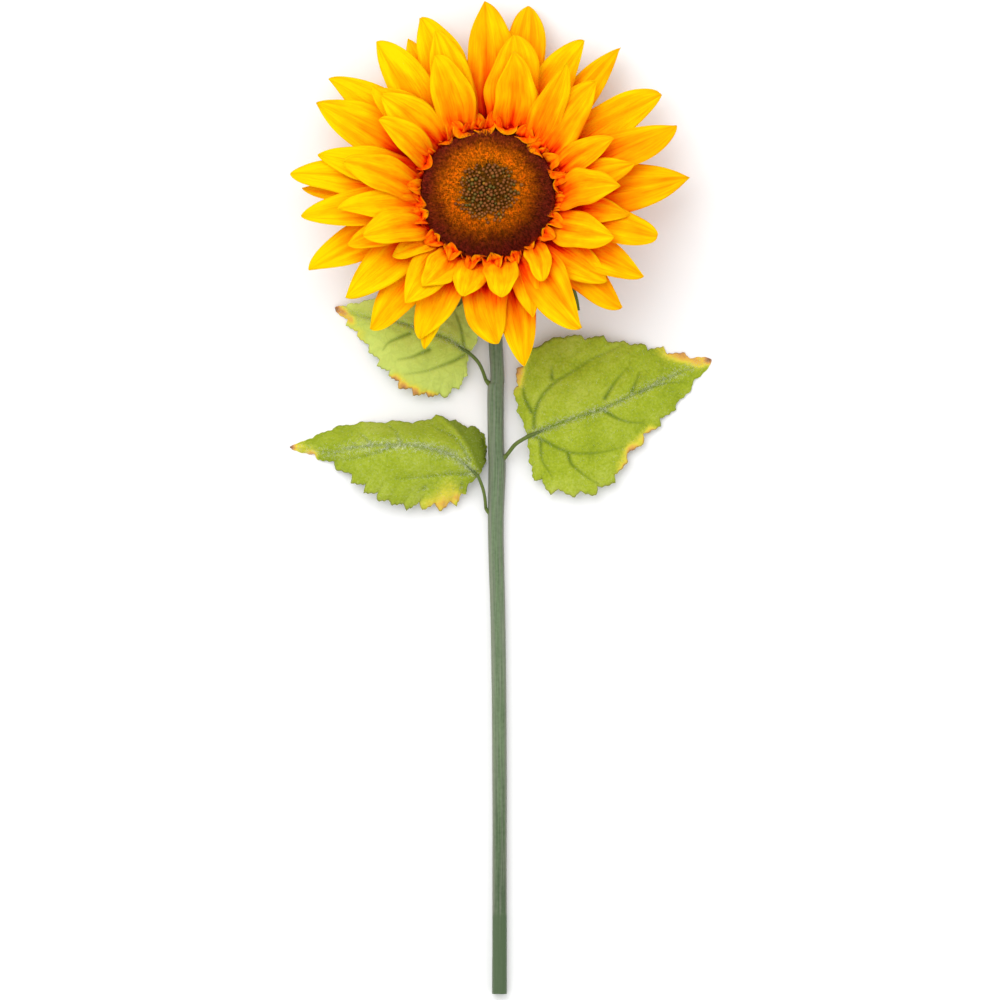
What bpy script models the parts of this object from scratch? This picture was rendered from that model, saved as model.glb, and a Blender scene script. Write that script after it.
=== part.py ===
"""A cut sunflower lying face up on a table, built at its real size.

The stem lies along Y and bends up into the bloom, which faces the sky and leans a little away from the
stem. Seen from straight above, the flower shows as it would from in front. +Z is up from the table and
the origin is the middle of the footprint. Lengths are written in millimetres times MM.
"""

import math
import random

import bmesh
import bpy
from mathutils import Matrix, Vector

MM = 0.001
SEED = 7

# The bloom's own frame: its base sits on the calyx, and its axis leans towards +Y
BLOOM_BASE = Vector((-8.8, 209.5, 35.2)) * MM
BLOOM_LEAN = math.radians(15)
BLOOM_FRAME = Matrix.Translation(BLOOM_BASE) @ Matrix.Rotation(-BLOOM_LEAN, 4, "X")

# The seed disc and the pad that carries it and the petals
DISC_RADIUS = 46.3 * MM
DISC_SEAT = 8.3 * MM
DISC_EDGE = 10 * MM
PAD_RADIUS = 49.2 * MM
PAD_HEIGHT = 8.0 * MM
SEAM = 0.3 * MM
DISC_ROOM = DISC_RADIUS + 0.9 * MM

# Petal tiers from the backmost to the foremost: lift of the chord, radius and height of the root
TIERS = (
    (6, 43.5, 1.4),
    (11, 43.5, 2.4),
    (17, 43.5, 3.4),
    (25, 44.2, 4.2),
    (35, 45.0, 4.4),
    (44, 45.8, 4.4),
)
PETAL_THICKNESS = 0.9 * MM
PETAL_ARCH = 0.11

# Each petal as it is seen from above: azimuth and reach of the tip from the disc's middle, width,
# azimuth of the root, and twist about its own length. Degrees and millimetres, one row for each tier.
PETALS = (
    (
        (78, 137, 30, 71, 0), (117, 124, 24, 121, 0), (144, 138, 28, 141, 8), (178, 130, 20, 180, 0),
        (203, 136, 28, 202, -6), (229, 125, 29, 225, 5), (248, 117, 17, 246, 0), (282, 123, 26, 285, 4),
        (320, 123, 26, 322, 0), (5, 142, 36, -3, -4), (30, 141, 28, 28, 6), (48, 139, 23, 43, -8),
    ),
    (
        (91, 136, 34, 88, 0), (111, 134, 34, 113, 4), (152, 136, 33, 157, -4), (174, 139, 25, 176, 5),
        (216, 123, 30, 211, 0), (245, 112, 28, 244, -4), (274, 105, 31, 266, 3), (332, 123, 27, 331, 4),
        (20, 140, 30, 14, -3), (58, 127, 27, 58, 6),
    ),
    (
        (126, 133, 31, 131, 0), (167, 122, 26, 165, 0), (187, 131, 27, 190, 4), (346, 122, 27, 343, -10),
        (324, 103, 28, 322, 5),
    ),
    (
        (81, 113, 36, 75, 0), (108, 120, 28, 111, 3), (137, 111, 29, 135, 0), (200, 104, 21, 201, 0),
        (233, 96, 28, 232, -5), (290, 92, 20, 292, 6), (305, 114, 33, 306, 5), (352, 100, 21, 350, 0),
        (12, 105, 23, 5, 0), (46, 109, 29, 37, 4),
    ),
    (
        (111, 104, 28, 114, 0), (137, 102, 29, 133, 4), (186, 105, 22, 190, 0), (213, 79, 16, 221, 8),
        (235, 79, 24, 241, -6), (257, 74, 24, 260, 0), (341, 93, 26, 335, 4), (24, 96, 21, 17, -5),
        (59, 108, 22, 50, 30),
    ),
    (
        (80, 101, 29, 72, 0), (146, 92, 21, 150, 5), (168, 103, 25, 176, 0), (199, 92, 25, 206, -4),
        (277, 73, 23, 281, 8), (302, 72, 13, 310, -18), (3, 93, 27, -3, 3),
    ),
)

# Short crumpled petals that stand round the rim of the disc
RIM_CURLS = (9, 28, 58, 87, 98, 117, 147, 176, 199, 222, 242, 257, 275, 291, 323, 336, 352)
RIM_CURL_ROOT = (47.3, 5.4)
RIM_CURL_LIFT = 66

# The calyx: a shallow bowl, outside radius and height in the bloom's frame, and two rows of bracts
BOWL_PROFILE = ((7.2, -16.0), (12, -15.4), (24, -12.6), (35, -9.0), (42, -5.4), (45.5, -2.0), (45.5, -0.3))
BOWL_SIDES = 32
BRACT_THICKNESS = 0.9 * MM
BRACT_ROOT = 36 * MM
# For each row the azimuth of the first bract, width, height of the root, droop of the chord, and the
# reach of each bract from the axis, evenly spaced round the bowl
BRACT_ROWS = (
    (308, 19, -5.2, 6.5, (101, 87, 91, 88, 99, 101, 99, 90, 86, 90, 87, 79, 84)),
    (322, 19, -8.0, 9.0, (73, 70, 72, 71, 74, 73, 70, 72, 69, 73, 71, 70, 72)),
)

# The stem's middle line, lower end first: along the table, sideways, and the radius there
STEM_LINE = (
    (-348, -0.7, 5.1), (-246, -0.6, 4.9), (-176, -0.8, 5.0), (-94, -1.6, 5.1), (-48, -2.8, 5.3),
    (-15, -3.3, 5.5), (22, -2.5, 6.0), (36, -3.3, 5.5), (76, -3.4, 5.7), (88, -2.3, 4.8), (150, -6.2, 5.2),
)
STEM_REST = 4.5 * MM
STEM_SIDES = 24
STEM_RIBS = 7
STEM_RIB = 0.03
STEM_STATIONS = 22
NECK_RADIUS = 20 * MM
NECK_STATIONS = 7
NECK_THICKNESS = (5.4, 6.6)
CALYX_FOOT = -16.3 * MM

# Leaves in plan: the middle rib and the two sides, each from the base to the tip. Ridge is the height of
# the rib above the table, fall how far each side droops, and teeth how deep each side is cut.
LEAF_THICKNESS = 1.0 * MM
LEAF_TEETH = 13
LEAF_TOOTH = 3.6
LEAF_VEIN_STEP = 4
LEAVES = {
    "leaf_right": {
        "rib": ((19.3, 43.4), (45, 52), (72.5, 61.6), (111.7, 77.5), (148.8, 97.3)),
        "left": (
            (19.3, 43.4), (15.2, 55), (10.9, 70), (12.5, 87), (22, 103.5), (42, 112.8), (61, 113),
            (80, 109.5), (97, 107.5), (112, 103.5), (130, 99.8), (148.8, 97.3),
        ),
        "right": (
            (19.3, 43.4), (20.5, 31), (23, 18), (34, 7), (52, 3), (68, 5.5), (82, 17),
            (93, 34), (107, 49), (120, 62), (134, 78), (148.8, 97.3),
        ),
        "ridge": (12, 17, 16, 9, 0.5),
        "fall": (9, 9),
        "petiole": ((4.6, 30.4, 7.0), (10.5, 37.6, 11.0), (19.3, 43.4, 12.3)),
        "stalk": 1.35,
        "teeth": (0.9, 1.1),
        "seed": 3,
    },
    "leaf_left": {
        "rib": ((-15.8, 15.4), (-31.9, 28.7), (-49.4, 35), (-73.9, 37.8), (-105.4, 36.2), (-148.8, 35.7)),
        "left": (
            (-15.8, 15.4), (-22.8, 9.5), (-28.5, 1), (-37.5, -5), (-50, -5.5), (-62, -5), (-73.9, -4),
            (-84, -0.5), (-93, 6), (-103, 13), (-115, 23.5), (-130, 29), (-148.8, 35.7),
        ),
        "right": (
            (-15.8, 15.4), (-12.6, 21), (-10.4, 30), (-10.6, 41), (-16, 48.5), (-28, 51.5), (-42.4, 57),
            (-55, 53.8), (-73.9, 53), (-98.4, 52.6), (-116, 49), (-131, 43), (-148.8, 35.7),
        ),
        "ridge": (13, 24, 28, 25, 14, 0.5),
        "fall": (16, 24),
        "petiole": ((-10.4, -6.5, 6.4), (-11.9, 5.0, 10.5), (-15.8, 15.4, 13.3)),
        "stalk": 1.1,
        "teeth": (1.1, 0.5),
        "seed": 5,
    },
    "leaf_upper": {
        "rib": ((-22.8, 102.2), (-35.4, 109.6), (-49.4, 115.4), (-63.4, 120.6), (-90, 127), (-116.6, 133.7)),
        "left": (
            (-22.8, 102.2), (-23.5, 94), (-26.5, 82), (-35, 74.6), (-46, 72), (-57, 73), (-68, 78),
            (-76, 85), (-84, 93.5), (-90.7, 104), (-100, 114.5), (-108, 124), (-116.6, 133.7),
        ),
        "right": (
            (-22.8, 102.2), (-18.5, 106.4), (-15.4, 115.5), (-16, 128), (-22.8, 139), (-36.8, 147),
            (-52.9, 150), (-68, 147.5), (-82, 142.5), (-94.9, 138), (-106.8, 135.6), (-116.6, 133.7),
        ),
        "ridge": (12, 19, 21, 19, 11, 1.5),
        "fall": (11, 8),
        "petiole": ((-10.6, 83.6, 6.6), (-15.2, 94.6, 10.5), (-22.8, 102.2, 12.3)),
        "stalk": 1.2,
        "teeth": (1.0, 0.5),
        "seed": 9,
    },
}
PETIOLE_SIDES = 8
SOCKET_LENGTH = 5 * MM


def clear_scene():
    for old in list(bpy.data.objects):
        bpy.data.objects.remove(old)


def plain_material(name, colour, roughness):
    material = bpy.data.materials.new(name)
    material.use_nodes = True
    shader = material.node_tree.nodes["Principled BSDF"]
    shader.inputs["Base Color"].default_value = (*colour, 1)
    shader.inputs["Roughness"].default_value = roughness
    shader.inputs["Metallic"].default_value = 0
    return material


def add_object(name, mesh, material=None, collection=None):
    if material:
        mesh.materials.append(material)
    mesh.shade_smooth()
    mesh.set_sharp_from_angle(angle=math.radians(45))
    made = bpy.data.objects.new(name, mesh)
    (collection or bpy.context.scene.collection).objects.link(made)
    return made


def mesh_from(name, points, faces):
    mesh = bpy.data.meshes.new(name)
    mesh.from_pydata(points, [], faces)
    return mesh


def along(points, share):
    """The point at this share of a smooth curve through the given points, which lie at even shares."""
    spans = len(points) - 1
    place = min(max(share, 0), 1) * spans
    i = min(int(place), spans - 1)
    t = place - i
    a, b, c, d = (points[min(max(k, 0), spans)] for k in (i - 1, i, i + 1, i + 2))
    return tuple(
        q + 0.5 * t * (r - p + t * (2 * p - 5 * q + 4 * r - s + t * (3 * (q - r) + s - p)))
        for p, q, r, s in zip(a, b, c, d)
    )


def rows_to_faces(widths):
    """Triangles between rows of points. A row of one point is an end where the blade comes to a tip."""
    faces = []
    first = 0
    for here, there in zip(widths, widths[1:]):
        second = first + here
        if here == 1:
            faces += [(first, second + k + 1, second + k) for k in range(there - 1)]
        elif there == 1:
            faces += [(first + k, first + k + 1, second) for k in range(here - 1)]
        else:
            for k in range(here - 1):
                a, b, c, d = first + k, first + k + 1, second + k + 1, second + k
                # The diagonals mirror about the middle rib
                faces += [(a, b, c), (a, c, d)] if k < (here - 1) / 2 else [(a, b, d), (b, c, d)]
        first = second
    return faces


def add_blade(name, rows, thickness, collection):
    """A thin closed blade whose middle surface runs through rows of points."""
    points = [point for row in rows for point in row]
    mesh = mesh_from(name, points, rows_to_faces([len(row) for row in rows]))
    blade = add_object(name, mesh, collection=collection)
    shell = blade.modifiers.new("thickness", "SOLIDIFY")
    shell.thickness = thickness
    shell.offset = 0
    return blade


def add_turned(name, profile, sides, material, frame):
    """A solid turned round the Z axis from (radius, height) pairs, closed at both ends."""
    points = []
    for radius, height in profile:
        for k in range(sides):
            angle = 2 * math.pi * k / sides
            points.append(Vector((radius * math.cos(angle), radius * math.sin(angle), height)))
    faces = [tuple(reversed(range(sides)))]
    for ring in range(len(profile) - 1):
        base = ring * sides
        for k in range(sides):
            after = (k + 1) % sides
            faces.append((base + k, base + after, base + sides + after, base + sides + k))
    faces.append(tuple(range(len(points) - sides, len(points))))
    mesh = mesh_from(name, points, faces)
    mesh.transform(frame)
    return add_object(name, mesh, material)


def fill_pockets(mesh):
    """Overlapping blades can close in a pocket of air: all but the largest shell is taken out."""
    shell = bmesh.new()
    shell.from_mesh(mesh)
    shell.faces.ensure_lookup_table()
    left = set(shell.faces)
    islands = []
    while left:
        island = [left.pop()]
        for face in island:
            for edge in face.edges:
                for near in edge.link_faces:
                    if near in left:
                        left.remove(near)
                        island.append(near)
        islands.append(island)
    islands.sort(key=len)
    for island in islands[:-1]:
        bmesh.ops.delete(shell, geom=island, context="FACES")
    shell.to_mesh(mesh)
    shell.free()


def join_to(body, collection):
    """Fuses everything in the collection into the body and removes the loose pieces."""
    union = body.modifiers.new("join", "BOOLEAN")
    union.operation = "UNION"
    union.operand_type = "COLLECTION"
    union.collection = collection
    union.solver = "MANIFOLD"
    bpy.context.view_layer.objects.active = body
    bpy.ops.object.modifier_apply(modifier=union.name)
    for piece in list(collection.objects):
        bpy.data.objects.remove(piece)
    bpy.data.collections.remove(collection)
    fill_pockets(body.data)
    body.data.shade_smooth()
    body.data.set_sharp_from_angle(angle=math.radians(45))


def new_collection(name):
    made = bpy.data.collections.new(name)
    bpy.context.scene.collection.children.link(made)
    return made


def polar(radius, degrees, height):
    angle = math.radians(degrees)
    return Vector((radius * math.cos(angle), radius * math.sin(angle), height))


def tip_in_bloom(azimuth, reach, lift, root_radius, root_height):
    """The tip that shows at this azimuth and reach from above, on a chord with this lift."""
    wanted = polar(reach, azimuth, 0)
    x, y = wanted.x, wanted.y
    for _ in range(8):
        z = root_height + (math.hypot(x, y) - root_radius) * math.tan(lift)
        y = (wanted.y - (z - DISC_EDGE) * math.sin(BLOOM_LEAN)) / math.cos(BLOOM_LEAN)
    return Vector((x, y, z))


def blade_line(root, tip, arch, azimuth):
    """The middle line of a petal or bract: it leaves the root outwards and arches over to the tip."""
    chord = tip - root
    outwards = polar(1, azimuth, 0)
    flat = Vector((chord.x, chord.y, 0)).normalized()
    over = chord.cross(Vector((-flat.y, flat.x, 0))).normalized()
    straight = root + 0.5 * chord
    sideways = root + outwards * (0.5 * chord.xy.length) + Vector((0, 0, 0.5 * chord.z))
    middle = straight.lerp(sideways, 0.6) + over * (2 * arch * chord.length)

    def point(u):
        return root * (1 - u) ** 2 + middle * (2 * u * (1 - u)) + tip * u**2

    def heading(u):
        return ((middle - root) * (1 - u) + (tip - middle) * u).normalized()

    return point, heading


def petal_outline(u):
    """Half the width at this share of the length, with 1 at the widest place."""
    neck = 0.48 + 0.52 * math.sin(math.pi / 2 * min(u / 0.48, 1))
    return 1.04 * neck * (1 - u**3.6) ** 0.67


def petal_rows(root, tip, azimuth, width, twist, arch, cups, steps, across):
    point, heading = blade_line(root, tip, arch, azimuth)
    rows = []
    for i in range(steps):
        u = 1 - (1 - i / steps) ** 1.35
        ahead = heading(u)
        side = Vector((0, 0, 1)).cross(ahead).normalized()
        side = Matrix.Rotation(math.radians(twist) * u, 3, ahead) @ side
        up = ahead.cross(side)
        half = 0.5 * width * petal_outline(u)
        cup = cups[0] + (cups[1] - cups[0]) * u
        row = []
        for k in range(across + 1):
            v = 2 * k / across - 1
            spot = point(u) + side * (v * half) + up * (half * cup * (v * v - 0.35))
            if spot.z > PAD_HEIGHT - 1 * MM and spot.xy.length < DISC_ROOM:
                spot.xy *= DISC_ROOM / spot.xy.length
            row.append(BLOOM_FRAME @ spot)
        rows.append(row)
    rows.append([BLOOM_FRAME @ point(1)])
    return rows


def make_petals(material):
    side = ((PAD_RADIUS, 2 * MM), (PAD_RADIUS, 7 * MM))
    profile = ((PAD_RADIUS - 2 * MM, 0), *side, (PAD_RADIUS - 1 * MM, PAD_HEIGHT))
    body = add_turned("petals", profile, 48, material, BLOOM_FRAME)
    loose = new_collection("loose_petals")
    draw = random.Random(SEED)
    for (lift, root_radius, root_height), tier in zip(TIERS, PETALS):
        for azimuth, reach, width, root_azimuth, twist in tier:
            root = polar(root_radius * MM, root_azimuth, root_height * MM)
            angle = math.radians(lift + draw.uniform(-1, 1))
            tip = tip_in_bloom(azimuth, reach * MM, angle, root.xy.length, root.z)
            cups = (0.16, draw.uniform(-0.16, 0.12))
            arch = PETAL_ARCH * draw.uniform(0.8, 1.2)
            rows = petal_rows(root, tip, root_azimuth, width * MM, twist, arch, cups, 6, 2)
            add_blade("petal", rows, PETAL_THICKNESS, loose)
    for azimuth in RIM_CURLS:
        root = polar(RIM_CURL_ROOT[0] * MM, azimuth, RIM_CURL_ROOT[1] * MM)
        length = draw.uniform(13, 18) * MM
        lift = math.radians(RIM_CURL_LIFT + draw.uniform(-8, 4))
        side = draw.uniform(-7, 7)
        tip = root + polar(length * math.cos(lift), azimuth + side, length * math.sin(lift))
        width = draw.uniform(9, 14) * MM
        twist = draw.uniform(-15, 15)
        rows = petal_rows(root, tip, azimuth, width, twist, 0.1, (0, 0.1), 3, 2)
        add_blade("rim_curl", rows, PETAL_THICKNESS, loose)
    join_to(body, loose)
    return body


def disc_height(radius):
    """The smooth top of the disc: a steep rim, a raised ring and a shallow dip in the middle."""
    share = radius / DISC_RADIUS
    crown = 16.0 * (1 - share**3.2) ** 0.62
    dip = 2.6 * math.exp(-((share / 0.42) ** 2))
    return DISC_EDGE + (crown - dip) * MM


def floret_relief(radius, angle):
    """Florets in two sets of crossing spirals, as low bumps that fade at the rim and the middle."""
    share = radius / DISC_RADIUS
    turns = math.log(share + 0.2)
    bumps = math.cos(8 * angle + 11 * turns) * math.cos(13 * angle - 9 * turns)
    fade = min(1, max(0, share - 0.18) / 0.2) * min(1, (1 - share) / 0.1)
    return 0.8 * MM * bumps * fade


def make_disc(material):
    around, rings = 72, 13
    points = [Vector((0, 0, disc_height(0)))]
    for i in range(1, rings + 1):
        radius = DISC_RADIUS * math.sin(math.pi / 2 * i / rings)
        for k in range(around):
            angle = 2 * math.pi * (k + 0.5 * (i % 2)) / around
            height = disc_height(radius) + floret_relief(radius, angle)
            points.append(Vector((radius * math.cos(angle), radius * math.sin(angle), height)))
    for k in range(around):
        angle = 2 * math.pi * (k + 0.5 * (rings % 2)) / around
        points.append(polar(DISC_RADIUS - 0.8 * MM, math.degrees(angle), DISC_SEAT))
    faces = [(0, 1 + k, 1 + (k + 1) % around) for k in range(around)]
    for i in range(rings):
        inner, outer = 1 + i * around, 1 + (i + 1) * around
        for k in range(around):
            after = (k + 1) % around
            if i % 2:
                faces += [(inner + k, outer + k, outer + after), (inner + k, outer + after, inner + after)]
            else:
                faces += [(inner + k, outer + k, inner + after), (inner + after, outer + k, outer + after)]
    faces.append(tuple(reversed(range(len(points) - around, len(points)))))
    mesh = mesh_from("seed_disc", points, faces)
    mesh.transform(BLOOM_FRAME)
    return add_object("seed_disc", mesh, material)


def make_calyx(material):
    profile = [(r * MM, z * MM) for r, z in BOWL_PROFILE]
    body = add_turned("calyx", profile, BOWL_SIDES, material, BLOOM_FRAME)
    loose = new_collection("loose_bracts")
    draw = random.Random(SEED + 1)
    for first, width, root_height, droop, reaches in BRACT_ROWS:
        for k, reach in enumerate(reaches):
            azimuth = first + 360 * k / len(reaches)
            root = polar(BRACT_ROOT, azimuth, root_height * MM)
            length = reach * MM - BRACT_ROOT
            angle = math.radians(-droop + draw.uniform(-2, 1))
            towards = azimuth + draw.uniform(-3, 3)
            tip = root + polar(length * math.cos(angle), towards, length * math.sin(angle))
            rows = petal_rows(root, tip, azimuth, width * MM, 0, 0.07, (0.1, -0.1), 5, 2)
            for row in rows:
                for point in row:
                    # The table holds up a bract that would hang lower
                    point.z = max(point.z, 0.5 * BRACT_THICKNESS)
            add_blade("bract", rows, BRACT_THICKNESS, loose)
    join_to(body, loose)
    return body


def sweep(line, sides, section, name, material=None, collection=None, floor=None):
    """A solid tube along (point, heading, radius) stations, whose section is a function of the angle."""
    points = []
    for point, heading, radius in line:
        side = (Vector((1, 0, 0)) - heading * heading.x).normalized()
        up = side.cross(heading)
        for k in range(sides):
            angle = 2 * math.pi * k / sides
            spot = point + (side * math.cos(angle) + up * math.sin(angle)) * (radius * section(angle))
            if floor is not None:
                spot.z = max(spot.z, floor)
            points.append(spot)
    faces = [tuple(range(sides))]
    for ring in range(len(line) - 1):
        base = ring * sides
        for k in range(sides):
            after = (k + 1) % sides
            faces.append((base + k, base + sides + k, base + sides + after, base + after))
    faces.append(tuple(reversed(range(len(points) - sides, len(points)))))
    return add_object(name, mesh_from(name, points, faces), material, collection)


def stem_stations():
    """The stem's middle line with its heading and radius, from the cut end to the calyx."""
    foot = BLOOM_FRAME @ Vector((0, 0, CALYX_FOOT))
    turn = math.pi / 2 - BLOOM_LEAN
    rise = NECK_RADIUS * (1 - math.cos(turn))
    tail = (foot.z - STEM_REST - rise) / math.cos(BLOOM_LEAN)
    bend_start = foot.y - tail * math.sin(BLOOM_LEAN) - NECK_RADIUS * math.sin(turn)
    knots = [(y * MM, x * MM, r * MM) for y, x, r in STEM_LINE]
    knots.append((bend_start, foot.x, NECK_THICKNESS[0] * MM))
    spots = []
    for i in range(STEM_STATIONS + 1):
        y, x, radius = along(knots, i / STEM_STATIONS)
        spots.append((Vector((x, y, STEM_REST)), radius))
    line = []
    for i, (spot, radius) in enumerate(spots):
        ahead = spots[min(i + 1, STEM_STATIONS)][0] - spots[max(i - 1, 0)][0]
        heading = Vector((0, 1, 0)) if i in (0, STEM_STATIONS) else ahead.normalized()
        line.append((spot, heading, radius))
    for i in range(1, NECK_STATIONS + 1):
        angle = turn * i / NECK_STATIONS
        thick = NECK_THICKNESS[0] + (NECK_THICKNESS[1] - NECK_THICKNESS[0]) * i / NECK_STATIONS
        heading = Vector((0, math.cos(angle), math.sin(angle)))
        spot = Vector((foot.x, bend_start + NECK_RADIUS * math.sin(angle), 0))
        spot.z = STEM_REST + NECK_RADIUS * (1 - math.cos(angle))
        line.append((spot, heading, thick * MM))
    line.append((foot, line[-1][1], NECK_THICKNESS[1] * MM))
    return line


def petiole_line(leaf):
    """The leaf stalk from its socket on the stem, and on along the underside of the middle rib."""
    spots = [Vector(p) * MM for p in leaf["petiole"]]
    spots = [Vector(along(spots, i / 5)) for i in range(6)]
    for share in (0.12, 0.3, 0.5):
        x, y = along(leaf["rib"], share)
        z = along([(h,) for h in leaf["ridge"]], share)[0]
        spots.append(Vector((x, y, z - 0.4)) * MM)
    line = []
    for i, spot in enumerate(spots):
        ahead = spots[min(i + 1, len(spots) - 1)] - spots[max(i - 1, 0)]
        taper = 1 if i < 6 else 1 - 0.24 * (i - 5)
        line.append((spot, ahead.normalized(), leaf["stalk"] * MM * taper))
    return line


def make_stem(material):
    def ribbed(angle):
        return 1 + STEM_RIB * math.cos(STEM_RIBS * angle + math.pi / 2)

    body = sweep(stem_stations(), STEM_SIDES, ribbed, "stem", material, floor=0)
    loose = new_collection("loose_sockets")
    for leaf in LEAVES.values():
        start, heading, radius = petiole_line(leaf)[0]
        inside = start - heading * SOCKET_LENGTH
        mouth = start - heading * SEAM
        line = [(inside, heading, radius * 2.6), (mouth, heading, radius * 1.25)]
        sweep(line, 10, lambda angle: 1, "socket", collection=loose)
    join_to(body, loose)
    return body


def leaf_rows(leaf):
    """Rows of points across the leaf, from the base to the tip, with its toothed sides and its relief."""
    draw = random.Random(leaf["seed"])
    sizes = {side: [draw.uniform(0.45, 1.35) for _ in range(LEAF_TEETH + 1)] for side in ("left", "right")}
    waves = [draw.uniform(0, 2 * math.pi) for _ in range(2)]
    steps = 2 * LEAF_TEETH
    across = 3
    base, tip = leaf["rib"][0], leaf["rib"][-1]
    rows = [[Vector((*base, leaf["ridge"][0])) * MM]]
    for i in range(1, steps):
        # Every other station is the point of a tooth, three quarters of the way to the next notch
        tooth, at_point = divmod(i, 2)
        share = (tooth + 0.75 * at_point) / LEAF_TEETH
        run = share**1.45
        middle = Vector(along(leaf["rib"], run))
        ridge = along([(h,) for h in leaf["ridge"]], run)[0]
        vein = 1 - abs((i % LEAF_VEIN_STEP) / LEAF_VEIN_STEP * 2 - 1)
        halves = []
        for side, teeth, fall, wave in zip(("left", "right"), leaf["teeth"], leaf["fall"], waves):
            edge = Vector(along(leaf[side], share))
            step = Vector(along(leaf[side], share + 0.02)) - Vector(along(leaf[side], share - 0.02))
            out = Vector((step.y, -step.x)).normalized()
            out *= math.copysign(1, out.dot(edge - middle))
            size = teeth * sizes[side][tooth] * min(1, 6 * share, 14 * (1 - share))
            edge += out * (LEAF_TOOTH * size * (at_point - 0.4))
            half = []
            for k in range(1, across + 1):
                v = k / across
                spot = middle.lerp(edge, v)
                full = min(1, 4 * share, 4 * (1 - run))
                height = ridge - fall * full * v**1.7
                height += 1.5 * full * v * math.sin(9 * share + wave)
                height += 1.1 * vein * full * math.sin(math.pi * min(1, v + 0.12))
                height = max(height, LEAF_THICKNESS / MM / 2)
                half.append(Vector((spot.x, spot.y, height)) * MM)
            halves.append(half)
        groove = Vector((middle.x, middle.y, ridge)) * MM
        rows.append(halves[0][::-1] + [groove] + halves[1])
    rows.append([Vector((*tip, leaf["ridge"][-1])) * MM])
    return rows


def make_leaf(name, leaf, material):
    stalk = petiole_line(leaf)
    body = sweep(stalk, PETIOLE_SIDES, lambda angle: 1, name, material)
    loose = new_collection("loose_blade")
    add_blade("blade", leaf_rows(leaf), LEAF_THICKNESS, loose)
    join_to(body, loose)
    return body


def main():
    clear_scene()
    yellow = plain_material("petal_yellow", (0.95, 0.52, 0.02), 0.6)
    brown = plain_material("seed_brown", (0.16, 0.06, 0.02), 0.9)
    bract_green = plain_material("bract_green", (0.16, 0.24, 0.05), 0.6)
    stem_green = plain_material("stem_green", (0.18, 0.28, 0.17), 0.5)
    leaf_green = plain_material("leaf_green", (0.36, 0.46, 0.08), 0.7)
    make_stem(stem_green)
    make_calyx(bract_green)
    make_petals(yellow)
    make_disc(brown)
    for name, leaf in LEAVES.items():
        make_leaf(name, leaf, leaf_green)


main()
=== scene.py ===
# %% [markdown]
# # A cut sunflower, lying face up
# The flower is 0.7 m long and made of dyed cloth and plastic: layers of petals round a flocked seed disc,
# a green calyx behind them, a ribbed stem and three toothed leaves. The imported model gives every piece
# its place. This file gives each piece its fine shape and its finish, in the same order in which the
# flower would be put together, from the bloom down to the stem and the leaves.

import math
import random

import bpy
import numpy as np
from mathutils import Matrix, Vector


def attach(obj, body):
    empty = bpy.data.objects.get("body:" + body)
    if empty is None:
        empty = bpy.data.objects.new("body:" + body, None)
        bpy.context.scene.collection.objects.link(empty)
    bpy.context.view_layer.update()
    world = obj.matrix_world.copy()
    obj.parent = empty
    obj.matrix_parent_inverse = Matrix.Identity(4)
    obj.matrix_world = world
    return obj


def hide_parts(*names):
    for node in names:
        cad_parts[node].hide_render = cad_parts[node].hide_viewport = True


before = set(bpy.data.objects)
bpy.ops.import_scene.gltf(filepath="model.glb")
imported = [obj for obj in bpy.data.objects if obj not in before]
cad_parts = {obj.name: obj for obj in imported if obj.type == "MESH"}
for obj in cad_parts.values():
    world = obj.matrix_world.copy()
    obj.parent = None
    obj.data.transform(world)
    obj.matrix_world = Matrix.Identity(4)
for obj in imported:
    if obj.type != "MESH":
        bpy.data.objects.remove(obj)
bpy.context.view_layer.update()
MM = 0.001
print("nodes:", sorted(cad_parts))

# %% [markdown]
# ## Camera
# The flower lies down, so the camera looks straight down on it. A product picture like this is taken
# from a distance with a long lens, because a short lens would make the raised bloom look too large next
# to the stem. The lens follows from the distance and from how much of the table the picture shows.

# %% Camera
PICTURE_WIDTH = 0.7
PICTURE_MIDDLE = (-0.35 * MM, -1.4 * MM)
CAMERA_HEIGHT = 10
MEASURED_HEIGHT = 0.03
SENSOR = 36


def add_object(name, data):
    """A new object that shows this data, linked to the scene."""
    thing = bpy.data.objects.new(name, data)
    bpy.context.scene.collection.objects.link(thing)
    return thing


camera_data = bpy.data.cameras.new("camera")
camera_data.sensor_width = SENSOR
camera_data.lens = SENSOR * (CAMERA_HEIGHT - MEASURED_HEIGHT) / PICTURE_WIDTH
camera_data.clip_end = 10 * CAMERA_HEIGHT
camera = add_object("camera", camera_data)
camera.location = (*PICTURE_MIDDLE, CAMERA_HEIGHT)
bpy.context.scene.camera = camera
print(f"lens {camera_data.lens:.0f} mm")

# %% [markdown]
# ## Studio light
# Light for a plain product picture is a bright, even room and one large soft lamp. The lamp stands at the
# upper left, so that petals shade each other a little and the folds show.

# %% Light
ROOM_LIGHT = 0.98
LAMP_POWER = 40
LAMP_SIZE = 2.4
LAMP_PLACE = Vector((-1.0, 1.3, 2.6))

world = bpy.data.worlds.new("room")
world.use_nodes = True
background = world.node_tree.nodes["Background"].inputs
background["Color"].default_value = (1, 1, 1, 1)
background["Strength"].default_value = ROOM_LIGHT
bpy.context.scene.world = world
bpy.context.scene.view_settings.view_transform = "Standard"

lamp_data = bpy.data.lights.new("soft_lamp", "AREA")
lamp_data.energy = LAMP_POWER
lamp_data.size = LAMP_SIZE
lamp = add_object("soft_lamp", lamp_data)
lamp.location = LAMP_PLACE
lamp.rotation_euler = (-LAMP_PLACE).to_track_quat("-Z", "Y").to_euler()
print(f"lamp {LAMP_PLACE.length:.1f} m from the flower")

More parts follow.
